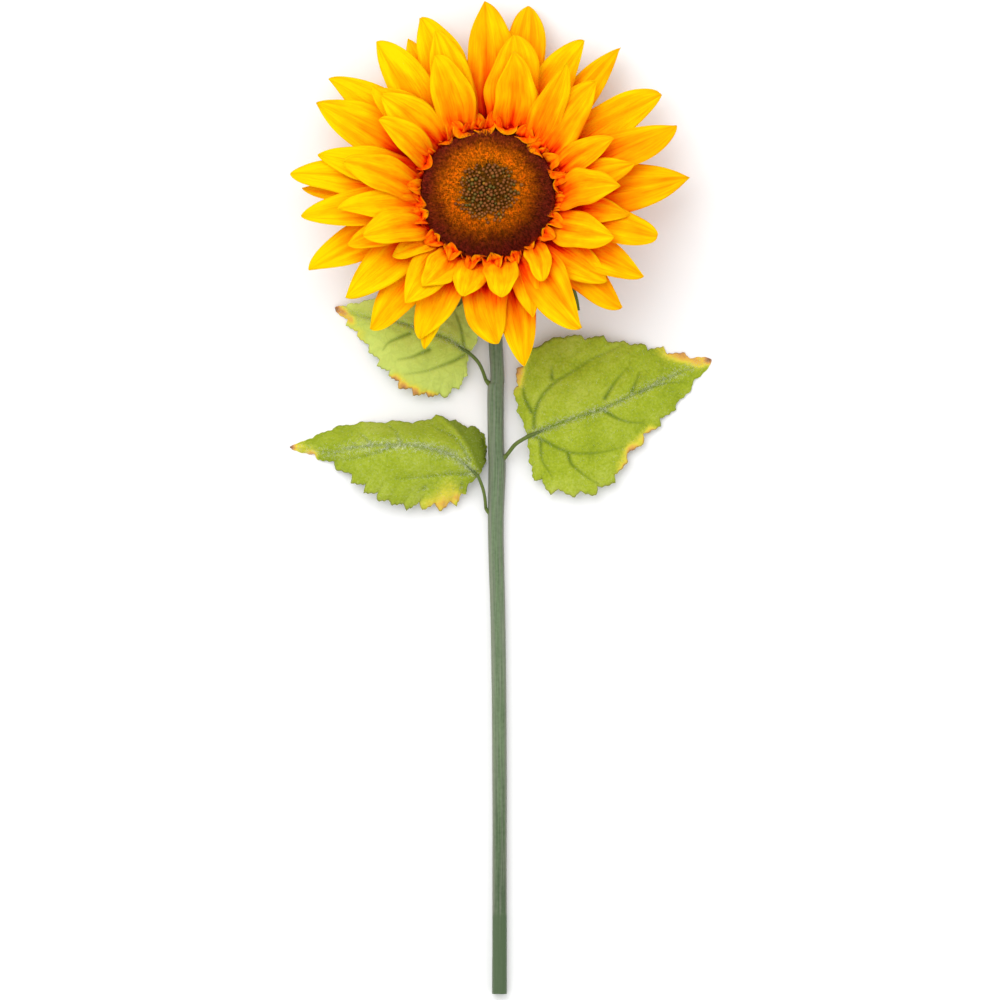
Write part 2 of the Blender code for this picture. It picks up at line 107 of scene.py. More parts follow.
# %% [markdown]
# ## A short way to write materials
# A Blender material is a net of nodes. This small class adds a node, feeds its sockets and links it in
# one call, so that the recipes below stay as short as a painter's notes. Every material ends in one
# Principled shader. `number` reads a value that a mesh carries at each of its points, such as how far
# along a petal the point is, and this is how shape and colour stay together.

# %% Paint
class Paint:
    """Builds the node tree of one material."""

    def __init__(self, name, roughness, specular=0.3):
        self.material = bpy.data.materials.new(name)
        self.material.use_nodes = True
        self.tree = self.material.node_tree
        self.shader = self.tree.nodes["Principled BSDF"]
        self.set("Roughness", roughness)
        self.set("Specular IOR Level", specular)

    def set(self, title, value):
        self.feed(self.shader.inputs[title], value)

    def feed(self, socket, value):
        if isinstance(value, bpy.types.NodeSocket):
            self.tree.links.new(value, socket)
        else:
            socket.default_value = value

    def add(self, kind, inputs, **settings):
        node = self.tree.nodes.new("ShaderNode" + kind)
        for title, value in settings.items():
            setattr(node, title, value)
        for title, value in inputs.items():
            self.feed(node.inputs[title], value)
        return node

    def number(self, name):
        return self.add("Attribute", {}, attribute_name=name).outputs["Fac"]

    def calc(self, how, *values):
        return self.add("Math", dict(enumerate(values)), operation=how).outputs[0]

    def product(self, first, *others):
        for other in others:
            first = self.calc("MULTIPLY", first, other)
        return first

    def total(self, base, *terms):
        """The base plus every term, which is a value and its weight."""
        for value, weight in terms:
            base = self.calc("MULTIPLY_ADD", value, weight, base)
        return base

    def place(self, x, y, z):
        return self.add("CombineXYZ", {0: x, 1: y, 2: z}).outputs[0]

    def everywhere(self):
        return self.add("TexCoord", {}).outputs["Object"]

    def noise(self, where, scale, detail=3, roughness=0.5):
        inputs = {"Vector": where, "Scale": scale, "Detail": detail, "Roughness": roughness}
        return self.add("TexNoise", inputs).outputs["Fac"]

    def grain(self, across, along, *settings):
        """Noise that runs with a sheet. It is stretched by these factors of the sheet's own numbers."""
        x = self.product(self.number("across"), across)
        y = self.product(self.number("along"), along)
        return self.noise(self.place(x, y, self.number("seed")), *settings)

    def span(self, value, low, high, to_low=0.0, to_high=1.0):
        inputs = {"Value": value, "From Min": low, "From Max": high, "To Min": to_low, "To Max": to_high}
        return self.add("MapRange", inputs, interpolation_type="SMOOTHSTEP").outputs["Result"]

    def ramp(self, value, *stops):
        node = self.add("ValToRGB", {"Fac": value})
        steps = node.color_ramp.elements
        while len(steps) < len(stops):
            steps.new(0.5)
        for step, (position, colour) in zip(steps, stops):
            step.position = position
            step.color = (*colour, 1)
        return node.outputs["Color"]

    def mix(self, share, first, second, how="MIX"):
        first, second = ((*c, 1) if isinstance(c, tuple) else c for c in (first, second))
        node = self.add("Mix", {0: share, 6: first, 7: second}, data_type="RGBA", blend_type=how)
        return node.outputs[2]

    def bump(self, height, depth):
        inputs = {"Height": height, "Distance": depth, "Strength": 1.0}
        self.set("Normal", self.add("Bump", inputs).outputs["Normal"])

# %% [markdown]
# The simplest paint wanders between two colours by a noise, because one flat colour looks made by a computer.
# It makes the floor, the hub and the down on the leaves.

# %% Mottled paint
def mottled_paint(name, finish, grain, first, second):
    """A paint with this roughness and specular, and the noise that mixes its two colours."""
    paint = Paint(name, *finish)
    mottle = paint.noise(paint.everywhere(), *grain)
    paint.set("Base Color", paint.mix(mottle, first, second))
    return paint, mottle

# %% [markdown]
# ## Floor
# One large plane just below the table height, nearly white. A very weak, wide mottling keeps it from being a
# flat colour.

# %% Floor
FLOOR_HALF = 12
FLOOR_DROP = 0.1 * MM

floor_paint, _ = mottled_paint("pale_floor", (0.9, 0.1), (1.5,), (0.93, 0.93, 0.93), (0.96, 0.96, 0.96))
floor_mesh = bpy.data.meshes.new("floor")
corners = [(x * FLOOR_HALF, y * FLOOR_HALF, -FLOOR_DROP) for x, y in ((-1, -1), (1, -1), (1, 1), (-1, 1))]
floor_mesh.from_pydata(corners, [], [(0, 1, 2, 3)])
floor_mesh.materials.append(floor_paint.material)
floor = add_object("floor", floor_mesh)
print(f"floor {2 * FLOOR_HALF} m wide")

# %% [markdown]
# ## Points and curves
# The flower was read off its picture as lists of points, so a few small helpers come first: even shares and
# turns, points round an axis, and `along`, a smooth curve through given points. A curve needs few numbers
# and is easy to correct, where a sculpted mesh would need thousands.

# %% Points and curves
def shares(steps):
    """The even shares from 0 to 1, with so many steps between them."""
    return [i / steps for i in range(steps + 1)]


def turns(count):
    """So many angles in radians, evenly all round."""
    return [2 * math.pi * k / count for k in range(count)]


def ring_about(axis, count):
    """So many directions square to the axis, all round it."""
    side = axis.orthogonal().normalized()
    also = axis.cross(side)
    return [side * math.cos(turn) + also * math.sin(turn) for turn in turns(count)]


def along(points, share):
    """The point at this share of a smooth curve through the given points, which lie at even shares."""
    spans = len(points) - 1
    place = min(max(share, 0), 1) * spans
    i = min(int(place), spans - 1)
    t = place - i
    a, b, c, d = (points[min(max(k, 0), spans)] for k in (i - 1, i, i + 1, i + 2))
    return tuple(
        q + 0.5 * t * (r - p + t * (2 * p - 5 * q + 4 * r - s + t * (3 * (q - r) + s - p)))
        for p, q, r, s in zip(a, b, c, d)
    )


def round_point(radius, angle, height):
    """The point at this radius, angle in radians and height about the Z axis."""
    return Vector((radius * math.cos(angle), radius * math.sin(angle), height))


def polar(radius, azimuth, height):
    return round_point(radius, math.radians(azimuth), height)

# %% [markdown]
# ## Sheets, tubes and spikes
# Nearly everything here is a thin sheet or a tube: rows of points with faces between them. The fibres are
# slim spikes. `Grid` collects several of them in one mesh, with the numbers that the materials read. A
# sheet gets its thickness from a Solidify modifier, which leaves it closed all round.

# %% Grid
SPIKE_FACES = ((0, 1, 3), (1, 2, 3), (2, 0, 3), (2, 1, 0))


class Grid:
    """Points, faces and point numbers of one piece."""

    def __init__(self):
        self.points = []
        self.faces = []
        self.numbers = {}

    def tell(self, numbers):
        """Adds the numbers of points that are added in the same order."""
        for title, values in numbers.items():
            self.numbers.setdefault(title, []).extend(values)

    def add_sheet(self, rows, closed=False):
        """Adds rows of points, joined by faces. A closed sheet joins the last column to the first."""
        first = len(self.points)
        width = len(rows[0])
        for row in rows:
            self.points += row
        for i in range(len(rows) - 1):
            for k in range(width if closed else width - 1):
                here, after = first + i * width + k, first + i * width + (k + 1) % width
                self.faces.append((here, after, after + width, here + width))

    def add_tube(self, rows):
        """Adds rows of points that go round, with both ends closed."""
        first = len(self.points)
        width = len(rows[0])
        self.add_sheet(rows, closed=True)
        last = len(self.points) - width
        self.faces.append(tuple(reversed(range(first, first + width))))
        self.faces.append(tuple(range(last, last + width)))

    def add_spike(self, foot, tip, width):
        """Adds a slim spike with three sides and a closed foot."""
        start = len(self.points)
        ring = ring_about((tip - foot).normalized(), 3)
        self.points += [foot + out * width for out in ring] + [tip]
        self.faces += [(start + a, start + b, start + c) for a, b, c in SPIKE_FACES]

# %% [markdown]
# Every grid becomes a mesh object in one place, so that no piece is forgotten.

# %% New piece
def new_piece(name, grid, paint, node, slot, thickness=None, sharp=None):
    """A mesh object made from a grid. It rides on the flower's one body and stands for a CAD node."""
    mesh = bpy.data.meshes.new(name)
    mesh.from_pydata(grid.points, [], grid.faces)
    for title, values in grid.numbers.items():
        mesh.attributes.new(title, "FLOAT", "POINT").data.foreach_set("value", values)
    mesh.materials.append(paint.material)
    mesh.shade_smooth()
    if sharp:
        mesh.set_sharp_from_angle(angle=math.radians(sharp))
    piece = add_object(name, mesh)
    if thickness:
        shell = piece.modifiers.new("thickness", "SOLIDIFY")
        shell.thickness = thickness
        shell.offset = 0
    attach(piece, "root")
    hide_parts(node)
    print(f"{name}: {len(grid.points)} points, {len(grid.faces)} faces")

# %% [markdown]
# ## Petal cloth
# A petal is pressed cloth, sprayed red-orange at the root and left bright yellow at the tip. The colour
# starts from how far along the petal a point is. Streaks that run with the petal, soft patches and fine
# veins shift it. So does painted shade where a point lies deep among the other petals: there the colour
# turns orange-red, as where light has passed through dyed cloth. The veins are a bump as well.

# %% Petal cloth
petal_cloth = Paint("petal_cloth", 0.75, 0.03)
petal_along = petal_cloth.number("along")
petal_streaks = petal_cloth.grain(4.5, 2.4, 1.1, 4, 0.62)
petal_patches = petal_cloth.grain(1, 3, 1.3, 2)
petal_veins = petal_cloth.grain(14, 1.9, 1.5, 3)
petal_tone = petal_cloth.total(
    -0.02,
    (petal_along, 0.38),
    (petal_cloth.span(petal_along, 0.05, 0.55, 1.0, 0.0), -0.30),
    (petal_streaks, 0.66),
    (petal_patches, 0.48),
    (petal_cloth.span(petal_veins, 0.54, 0.66), -0.12),
    # Painted light and shade on the folds: lighter on ridges and edges, darker in the valleys
    (petal_cloth.number("ridge"), 0.08),
    (petal_cloth.number("warmth"), -1.0),
    # Painted shade, orange-red, where a point lies deep among the other petals
    (petal_cloth.number("covered_shade"), -0.52),
)
petal_cloth.set("Base Color", petal_cloth.ramp(
    petal_tone,
    (0.00, (0.50, 0.002, 0.000)),
    (0.14, (0.84, 0.022, 0.000)),
    (0.30, (0.97, 0.100, 0.000)),
    (0.50, (0.98, 0.240, 0.000)),
    (0.68, (0.98, 0.370, 0.000)),
    (0.84, (0.98, 0.490, 0.000)),
    (1.00, (0.98, 0.630, 0.000)),
))
petal_cloth.bump(petal_veins, 0.5 * MM)

# %% [markdown]
# ## The bloom's own frame
# The bloom faces up and leans a little away from the stem. All its pieces are worked out in a frame
# whose origin is the middle of the bloom's base and whose Z axis is the bloom's axis. Then one matrix
# takes them to their place.

# %% Bloom frame
SEED = 7
BLOOM_LEAN = math.radians(15)
BLOOM_FRAME = Matrix.Translation(Vector((-8.8, 209.5, 35.2)) * MM) @ Matrix.Rotation(-BLOOM_LEAN, 4, "X")
DISC_RADIUS = 46.3 * MM
DISC_EDGE = 10 * MM
DISC_ROOM = DISC_RADIUS + 0.9 * MM
PAD_HEIGHT = 8.0 * MM


def move_to_bloom(grid):
    grid.points = [BLOOM_FRAME @ point for point in grid.points]


def bloom_piece(name, grid, *looks, **settings):
    """A piece that was worked out in the bloom's frame."""
    move_to_bloom(grid)
    new_piece(name, grid, *looks, **settings)

# %% [markdown]
# ## The line of a petal
# Each petal leaves its root pointing outwards and arches over to its tip. The rows below give the tip as
# it is seen from above, and `tip_in_bloom` finds where that tip is in the leaning frame. The outline is
# narrow at the neck, widest in the middle and pointed at the tip.

# %% Petal line
TIP_ROUNDS = 8
OUTWARD_START = 0.6
NECK_WIDTH = 0.48
NECK_END = 0.48
TIP_POWER = 4.3
BULGE = 1.10


def tip_in_bloom(azimuth, reach, lift, root_radius, root_height):
    """The tip in the bloom's frame that shows at this azimuth and reach from above."""
    wanted = polar(reach, azimuth, 0)
    x, y = wanted.x, wanted.y
    for _ in range(TIP_ROUNDS):
        z = root_height + (math.hypot(x, y) - root_radius) * math.tan(lift)
        y = (wanted.y - (z - DISC_EDGE) * math.sin(BLOOM_LEAN)) / math.cos(BLOOM_LEAN)
    return Vector((x, y, z))


def blade_line(root, tip, arch, azimuth):
    """The middle line of a petal or bract, as a point and a heading at each share of its length."""
    chord = tip - root
    outwards = polar(1, azimuth, 0)
    flat = Vector((chord.x, chord.y, 0)).normalized()
    over = chord.cross(Vector((-flat.y, flat.x, 0))).normalized()
    straight = root + 0.5 * chord
    sideways = root + outwards * (0.5 * chord.xy.length) + Vector((0, 0, 0.5 * chord.z))
    middle = straight.lerp(sideways, OUTWARD_START) + over * (2 * arch * chord.length)

    def point(u):
        return root * (1 - u) ** 2 + middle * (2 * u * (1 - u)) + tip * u**2

    def heading(u):
        return ((middle - root) * (1 - u) + (tip - middle) * u).normalized()

    return point, heading


def petal_outline(u, point):
    """Half the width at this share of the length, with 1 at the widest place. Point sharpens the tip."""
    neck = NECK_WIDTH + (1 - NECK_WIDTH) * math.sin(math.pi / 2 * min(u / NECK_END, 1))
    return BULGE * neck * (1 - u**TIP_POWER) ** point

# %% [markdown]
# ## The folds of a petal
# Pressed cloth is never smooth: it has a crease down the middle, a few pleats beside it, an edge that
# ruffles towards the tip, and a tip that hooks up or down. Each is a short formula across `v`, from -1 at
# one edge to 1 at the other, and its strength is drawn at random for each petal.

# %% Folds
FOLD_SEED = 31
FOLDS = {
    "crease": (0.6, 2.6), "crease_at": (-0.35, 0.35), "crease_width": (0.14, 0.34), "pleat": (0.30, 1.00),
    "pleats": (2.2, 3.6), "phase": (0, 2 * math.pi), "ruffle": (0.4, 1.5), "waves": (1.2, 2.6),
    "hook": (-2.5, 2.0), "sway": (-2.6, 2.6), "point": (0.68, 1.10), "skew": (-0.32, 0.32),
    "notch": (0.025, 0.075), "notches": (1.3, 2.4),
}
FOLD_HEIGHTS = ("crease", "pleat", "ruffle", "hook", "sway")

touch = random.Random(FOLD_SEED)


def draw_folds(size):
    """The strengths of one petal's folds. Those in millimetres scale with the petal's size."""
    folds = {title: touch.uniform(*limits) for title, limits in FOLDS.items()}
    for title in FOLD_HEIGHTS:
        folds[title] *= MM * size
    return folds


def petal_edge(u, v, folds):
    """The outline on the side where v lies, with its notches."""
    notch = folds["notch"] * math.sin(2 * math.pi * folds["notches"] * u + 2 * v + folds["phase"])
    return petal_outline(u, folds["point"] + folds["skew"] * math.copysign(1, v)) * (1 + notch)


def petal_fold(u, v, folds):
    """How far the folds lift the cloth, and how much light the place catches."""
    crease = math.exp(-(((v - folds["crease_at"] * u) / folds["crease_width"]) ** 2))
    pleat = math.cos(math.pi * folds["pleats"] * v + folds["phase"])
    ruffle = u * abs(v) ** 3 * math.sin(2 * math.pi * folds["waves"] * u + 2.4 * v)
    body = math.sin(math.pi * min(1, u + 0.1))
    lift = body * (folds["pleat"] * pleat - folds["crease"] * crease) + folds["ruffle"] * ruffle
    return lift, 0.6 * pleat - crease + 0.8 * abs(v) + ruffle

# %% [markdown]
# A petal is then a grid: rows along its line, closer together at the tip, and each row from edge to edge.
# Each point also gets the numbers that the paint reads. A point that would lie inside the disc is pushed out
# to its rim.

# %% Petal sheet
LAST_ROW = 0.9985
TIP_CROWDING = 1.35
PAD_OVERLAP = 1 * MM
CUP_LEVEL = 0.35


def add_petal(grid, line, width, twist, cups, folds, steps, warmth=None, room=DISC_ROOM):
    """Adds one petal with so many steps along and across, and a warmth drawn from a range."""
    point, heading = line
    rows = []
    numbers = {"along": [], "across": [], "ridge": []}
    for i in range(steps[0] + 1):
        u = min(1 - (1 - i / steps[0]) ** TIP_CROWDING, LAST_ROW)
        ahead = heading(u)
        side = Vector((0, 0, 1)).cross(ahead).normalized()
        side = Matrix.Rotation(math.radians(twist) * u, 3, ahead) @ side
        up = ahead.cross(side)
        half = 0.5 * width * petal_outline(u, folds["point"])
        cup = cups[0] + (cups[1] - cups[0]) * u
        spine = point(u) + side * (folds["sway"] * math.sin(math.pi * u)) + up * (folds["hook"] * u**5)
        row = []
        for k in range(steps[1] + 1):
            v = 2 * k / steps[1] - 1
            lift, ridge = petal_fold(u, v, folds)
            lift += half * cup * (v * v - CUP_LEVEL)
            spot = spine + side * (0.5 * width * v * petal_edge(u, v, folds)) + up * lift
            if spot.z > PAD_HEIGHT - PAD_OVERLAP and spot.xy.length < room:
                spot.xy *= room / spot.xy.length
            row.append(spot)
            numbers["along"].append(u)
            numbers["across"].append(v)
            numbers["ridge"].append(ridge)
        rows.append(row)
    count = len(numbers["along"])
    numbers["seed"] = [touch.uniform(0, 50)] * count
    if warmth:
        numbers["warmth"] = [touch.uniform(*warmth)] * count
    grid.add_sheet(rows)
    grid.tell(numbers)

# %% [markdown]
# ## The petals in their tiers
# Six tiers of cloth petals are threaded on the hub, the backmost flat and the foremost standing up
# steeply. The rows were read off the bloom one petal at a time, because a rule would give a regular
# rosette and the real one is uneven: azimuth and reach of the tip, width, azimuth of the root and twist.
# Some tips are blunt or slanted. Those are listed by tier and azimuth, with how sharp the tip is and how far
# it slants to the left, seen from the disc: the left side is then the sharper one and the body lies to the
# right.

# %% Petal rows
TIERS = (
    (6, 43.5, 1.4),
    (11, 43.5, 2.4),
    (17, 43.5, 3.4),
    (25, 44.2, 4.2),
    (35, 45.0, 4.4),
    (44, 45.8, 4.4),
)
PETAL_ARCH = 0.11
PETALS = (
    (
        (78, 137, 30, 71, 0), (117, 124, 24, 121, 0), (144, 138, 28, 141, 8), (178, 130, 20, 180, 0),
        (203, 136, 28, 202, -6), (229, 125, 29, 225, 5), (248, 117, 17, 246, 0), (282, 123, 26, 285, 4),
        (320, 123, 26, 322, 0), (5, 142, 36, -3, -4), (30, 141, 28, 28, 6), (48, 139, 23, 43, -8),
    ),
    (
        (91, 136, 34, 88, 0), (111, 134, 34, 113, 4), (152, 136, 33, 157, -4), (174, 139, 25, 176, 5),
        (216, 123, 30, 211, 0), (245, 112, 28, 244, -4), (274, 105, 31, 266, 3), (332, 123, 27, 331, 4),
        (20, 140, 30, 14, -3), (58, 127, 27, 58, 6),
    ),
    (
        (126, 133, 31, 131, 0), (167, 122, 26, 165, 0), (187, 131, 27, 190, 4), (346, 122, 27, 343, -10),
        (324, 103, 28, 322, 5),
    ),
    (
        (81, 113, 36, 75, 0), (108, 120, 28, 111, 3), (137, 111, 29, 135, 0), (200, 104, 21, 201, 0),
        (233, 96, 28, 232, -5), (290, 92, 20, 292, 6), (305, 114, 31, 306, 5), (352, 100, 21, 350, 0),
        (12, 105, 23, 5, 0), (46, 109, 29, 37, 4),
    ),
    (
        (111, 104, 28, 114, 0), (137, 102, 29, 133, 4), (186, 105, 22, 190, 0), (213, 79, 16, 221, 8),
        (235, 79, 24, 241, -6), (257, 74, 24, 260, 0), (341, 93, 26, 335, 4), (24, 96, 21, 17, -5),
        (59, 108, 22, 50, 30),
    ),
    (
        (80, 101, 29, 72, 0), (146, 92, 21, 150, 5), (168, 103, 25, 176, 0), (199, 92, 25, 206, -4),
        (277, 73, 23, 281, 8), (302, 72, 17, 310, -12), (3, 93, 27, -3, 3),
    ),
)
TIP_SHAPES = {
    (1, 78): (0.62, 0.00), (1, 144): (0.90, 0.30), (1, 203): (0.90, 0.25), (1, 229): (0.80, -0.32),
    (1, 320): (0.85, 0.38), (1, 30): (0.66, -0.25), (1, 48): (1.00, -0.30), (2, 111): (0.85, 0.38),
    (2, 152): (0.90, 0.22), (2, 174): (0.64, 0.00), (2, 216): (0.92, -0.30), (2, 274): (0.75, 0.25),
    (2, 332): (0.92, 0.30), (2, 58): (0.85, -0.32), (3, 126): (0.80, 0.28), (3, 187): (0.74, 0.00),
    (3, 346): (0.48, 0.08), (4, 305): (1.00, 0.60), (4, 46): (0.90, -0.32), (5, 111): (0.75, 0.32),
    (5, 341): (0.85, 0.30), (5, 24): (0.95, -0.30), (6, 146): (0.80, 0.32), (6, 168): (0.60, 0.05),
    (6, 199): (0.64, 0.00), (6, 302): (0.56, 0.12),
}
SLANT_SHIFT = 8 * MM

# %% [markdown]
# The first random draws of a petal are the ones that shaped the CAD petal, in the same order, so that the
# fine petal lies where the solid one does. A second source of draws makes the folds. The petals on the right
# look a little warmer, which `warmth` adds.

# %% Petal tiers
PETAL_STEPS = (34, 18)
PETAL_THICKNESS = 0.35 * MM
USUAL_WIDTH = 30
ROOT_CUP = 0.16
WARMTH = 0.01
WARMTH_AT_RIGHT = 0.085
WARMTH_SPREAD = 0.06

draw = random.Random(SEED)
tiers = []
for number, ((lift, root_radius, root_height), tier) in enumerate(zip(TIERS, PETALS), 1):
    sheets = Grid()
    for azimuth, reach, width, root_azimuth, twist in tier:
        root = polar(root_radius * MM, root_azimuth, root_height * MM)
        angle = math.radians(lift + draw.uniform(-1, 1))
        tip = tip_in_bloom(azimuth, reach * MM, angle, root.xy.length, root.z)
        cups = (ROOT_CUP, draw.uniform(-0.16, 0.12))
        line = blade_line(root, tip, PETAL_ARCH * draw.uniform(0.8, 1.2), root_azimuth)
        size = width / USUAL_WIDTH
        folds = draw_folds(size)
        if (number, azimuth) in TIP_SHAPES:
            folds["point"], folds["skew"] = TIP_SHAPES[number, azimuth]
            folds["sway"] = -SLANT_SHIFT * folds["skew"] * size
        warm = WARMTH + WARMTH_AT_RIGHT * math.cos(math.radians(azimuth))
        warmth = (warm - WARMTH_SPREAD, warm + WARMTH_SPREAD)
        add_petal(sheets, line, width * MM, twist, cups, folds, PETAL_STEPS, warmth)
    tiers.append(sheets)
print("petals:", sum(len(tier) for tier in PETALS))

# %% [markdown]
# ## Short curls round the disc
# Where the last petals are glued in, their crumpled feet and a few short petals stand up round the rim of
# the disc. They are made like petals, but short, steep and more strongly curled.

# %% Rim curls
RIM_CURLS = (9, 28, 58, 87, 98, 117, 147, 176, 199, 222, 242, 257, 275, 291, 323, 336, 352)
RIM_CURL_ROOT = (47.3, 5.4)
RIM_CURL_LIFT = 52
CURL_ARCH = 0.3
CURL_CUPS = (0.45, 0.1)
CURL_POINT = 0.62
CURL_SIZE = 0.7
CURL_STEPS = (16, 12)


def slope(length, azimuth, lift):
    """A step of this length towards an azimuth, rising by the lift. Both are in degrees."""
    rise = math.radians(lift)
    return polar(length * math.cos(rise), azimuth, length * math.sin(rise))


curls = Grid()
for azimuth in RIM_CURLS:
    root = polar(RIM_CURL_ROOT[0] * MM, azimuth, RIM_CURL_ROOT[1] * MM)
    length = draw.uniform(14, 19) * MM
    lift = RIM_CURL_LIFT + draw.uniform(-8, 4)
    tip = root + slope(length, azimuth + draw.uniform(-7, 7), lift)
    width = draw.uniform(9, 14) * MM
    twist = draw.uniform(-21, 21)
    folds = draw_folds(CURL_SIZE)
    folds["point"] = CURL_POINT
    line = blade_line(root, tip, CURL_ARCH, azimuth)
    add_petal(curls, line, width, twist, CURL_CUPS, folds, CURL_STEPS, (0.28, 0.50))
print("curls:", len(RIM_CURLS))

# %% [markdown]
# Between the curls lie smaller crumpled scraps of the same cloth, which hide the glue.

# %% Rim scraps
RIM_SCRAPS = 32
RIM_SCRAP_ROOT = 47.2 * MM
RIM_SCRAP_CUPS = (0.5, 0.3)
RIM_SCRAP_STEPS = (10, 8)
SCRAP_SIZE = 0.5

for i in range(RIM_SCRAPS):
    azimuth = 360 * i / RIM_SCRAPS + touch.uniform(-4, 4)
    root = polar(RIM_SCRAP_ROOT, azimuth, touch.uniform(6.8, 9.0) * MM)
    length = touch.uniform(6, 10) * MM
    lift = touch.uniform(20, 60)
    tip = root + slope(length, azimuth + touch.uniform(-9, 9), lift)
    width = touch.uniform(7, 12) * MM
    twist = touch.uniform(-50, 50)
    folds = draw_folds(SCRAP_SIZE)
    folds["point"] = touch.uniform(0.6, 0.9)
    line = blade_line(root, tip, touch.uniform(0.2, 0.4), azimuth)
    add_petal(curls, line, width, twist, RIM_SCRAP_CUPS, folds, RIM_SCRAP_STEPS, (0.30, 0.56))
print("scraps in the rim:", RIM_SCRAPS)

# %% [markdown]
# Some scraps stand against the disc, lean in over its edge and hook back, so that the edge isn't a plain
# circle. Those on the side away from the stem are the widest and reach in furthest: the FAR numbers say how
# much of each is added there.

# %% Inner scraps
INNER_SCRAPS = (7, 20, 41, 60, 75, 92, 110, 128, 153, 184, 198, 222, 242, 262, 276, 292, 325, 343)
INNER_ROOT = (49.5, 9)
INNER_CUPS = (0.5, 0.2)
INNER_STEPS = (12, 10)
INNER_ROOM = 40 * MM
FAR_RISE = 1.6
FAR_REACH = 2.4
FAR_BLUNTNESS = 0.25
FAR_WIDTH = 0.7
FAR_CALM = 0.5

for azimuth in INNER_SCRAPS:
    far = max(0, math.sin(math.radians(azimuth)))
    root = polar(INNER_ROOT[0] * MM, azimuth, INNER_ROOT[1] * MM)
    height = (touch.uniform(14.5, 17.5) + FAR_RISE * far) * MM
    reach = (touch.uniform(43.5, 46.5) - FAR_REACH * far) * MM
    tip = polar(reach, azimuth + touch.uniform(-9, 9), height)
    folds = draw_folds(SCRAP_SIZE)
    folds["point"] = touch.uniform(0.70, 1.00) - FAR_BLUNTNESS * far
    line = blade_line(root, tip, touch.uniform(0.06, 0.18), azimuth)
    width = touch.uniform(8, 12) * MM * (1 + FAR_WIDTH * far)
    twist = touch.uniform(-45, 45) * (1 - FAR_CALM * far)
    add_petal(curls, line, width, twist, INNER_CUPS, folds, INNER_STEPS, (0.22, 0.48), INNER_ROOM)
print("scraps over the disc's edge:", len(INNER_SCRAPS))

# %% [markdown]
# ## Where the petals cover each other
# The painted shade among the petals is found once for the whole bloom. The highest point in each small cell
# of a map, seen along the bloom's axis, is kept, and each point then asks how far the other petals in the
# cells round it rise above it: the higher they rise, the more painted shade it gets.

# %% Covered
CELL = 2.5 * MM
MAP_HALF = 80
NEAR_CELLS = 2
COVER_GAP = 1.5 * MM
COVER_DEPTH = 9 * MM
OPEN_RADII = (62 * MM, 92 * MM)
OPEN_SHARES = (1.0, 0.45)

pieces = tiers + [curls]
cloud = np.array([tuple(point) for grid in pieces for point in grid.points])
owners = np.unique([seed for grid in pieces for seed in grid.numbers["seed"]], return_inverse=True)[1]
cells = np.floor(cloud[:, :2] / CELL).astype(int) + MAP_HALF
tops = np.full((owners.max() + 1, 2 * MAP_HALF, 2 * MAP_HALF), -1.0)
np.maximum.at(tops, (owners, cells[:, 0], cells[:, 1]), cloud[:, 2])
highest, runner_up = np.sort(tops, axis=0)[-1:-3:-1]
top_owner = tops.argmax(axis=0)
steps = range(-NEAR_CELLS, NEAR_CELLS + 1)
near = [(i, j) for i in steps for j in steps]
covered_shade = np.zeros(len(cloud))
for i, j in near:
    spot = (cells[:, 0] + i, cells[:, 1] + j)
    others = np.where(top_owner[spot] == owners, runner_up[spot], highest[spot])
    covered_shade += np.clip((others - cloud[:, 2] - COVER_GAP) / COVER_DEPTH, 0, 1) / len(near)

# Light reaches in between the petals further out, so the painted shade there is weaker
covered_shade *= np.interp(np.hypot(cloud[:, 0], cloud[:, 1]), OPEN_RADII, OPEN_SHARES)
print(f"covered: mean {covered_shade.mean():.2f}")
first = 0
for number, grid in enumerate(pieces, 1):
    last = first + len(grid.points)
    grid.numbers["covered_shade"] = list(covered_shade[first:last])
    first = last
    name = "rim_curls" if grid is curls else f"petals_tier_{number}"
    bloom_piece(name, grid, petal_cloth, "petals", "petal_yellow", PETAL_THICKNESS)

# %% [markdown]
# ## Turned pieces
# The hub and the bowl of the calyx are round, so each is a profile turned about the bloom's axis. A smooth
# curve through the profile's points gives the rings.

# %% Turned
def turned(profile, rings, sides, ripple=None):
    """A grid turned from (radius, height) points in millimetres. Ripple may move a point outwards."""
    profile = [(radius * MM, height * MM) for radius, height in profile]
    rows = []
    for share in shares(rings):
        radius, height = along(profile, share)
        row = []
        for angle in turns(sides):
            out = ripple(radius, angle) if ripple else 0
            row.append(round_point(radius + out, angle, height))
        rows.append(row)
    grid = Grid()
    grid.add_tube(rows)
    return grid

# %% [markdown]
# ## Hub
# The petals are threaded on a flat hub under the disc. Only slivers of it show between the curls, in deep
# red, like the dyed feet of the petals.

# %% Hub
HUB_PROFILE = ((45.4, -0.3), (47.0, 0.8), (47.6, 3.2), (47.4, 6.0), (46.6, 7.6), (45.4, 8.0))
HUB_RINGS = 12
HUB_SIDES = 120

hub_paint, hub_mottle = mottled_paint("hub_red", (0.7, 0.15), (260, 4), (0.40, 0.010, 0.0), (0.85, 0.11, 0.0))
hub_paint.bump(hub_mottle, 0.4 * MM)
hub = turned(HUB_PROFILE, HUB_RINGS, HUB_SIDES)
bloom_piece("petal_hub", hub, hub_paint, "petals", "petal_yellow", sharp=50)

# %% [markdown]
# ## The seed disc
# The disc is a dome with a steep rim and a shallow dip in the middle. Three things cover it: dark maroon
# flock at the rim, an orange-brown ring, and beads in the middle, like buds that haven't opened. A bump
# map can't give flock its soft outline, so the flock is thousands of real bristles on a plain core.

# %% Disc shape
CROWN = 16.0 * MM
DOME_POWER = 3.2
DOME_ROOT = 0.62
DIP = 2.6 * MM
DIP_WIDTH = 0.42
BEAD_ZONE = 21.5 * MM
SLOPE_STEP = 0.4 * MM


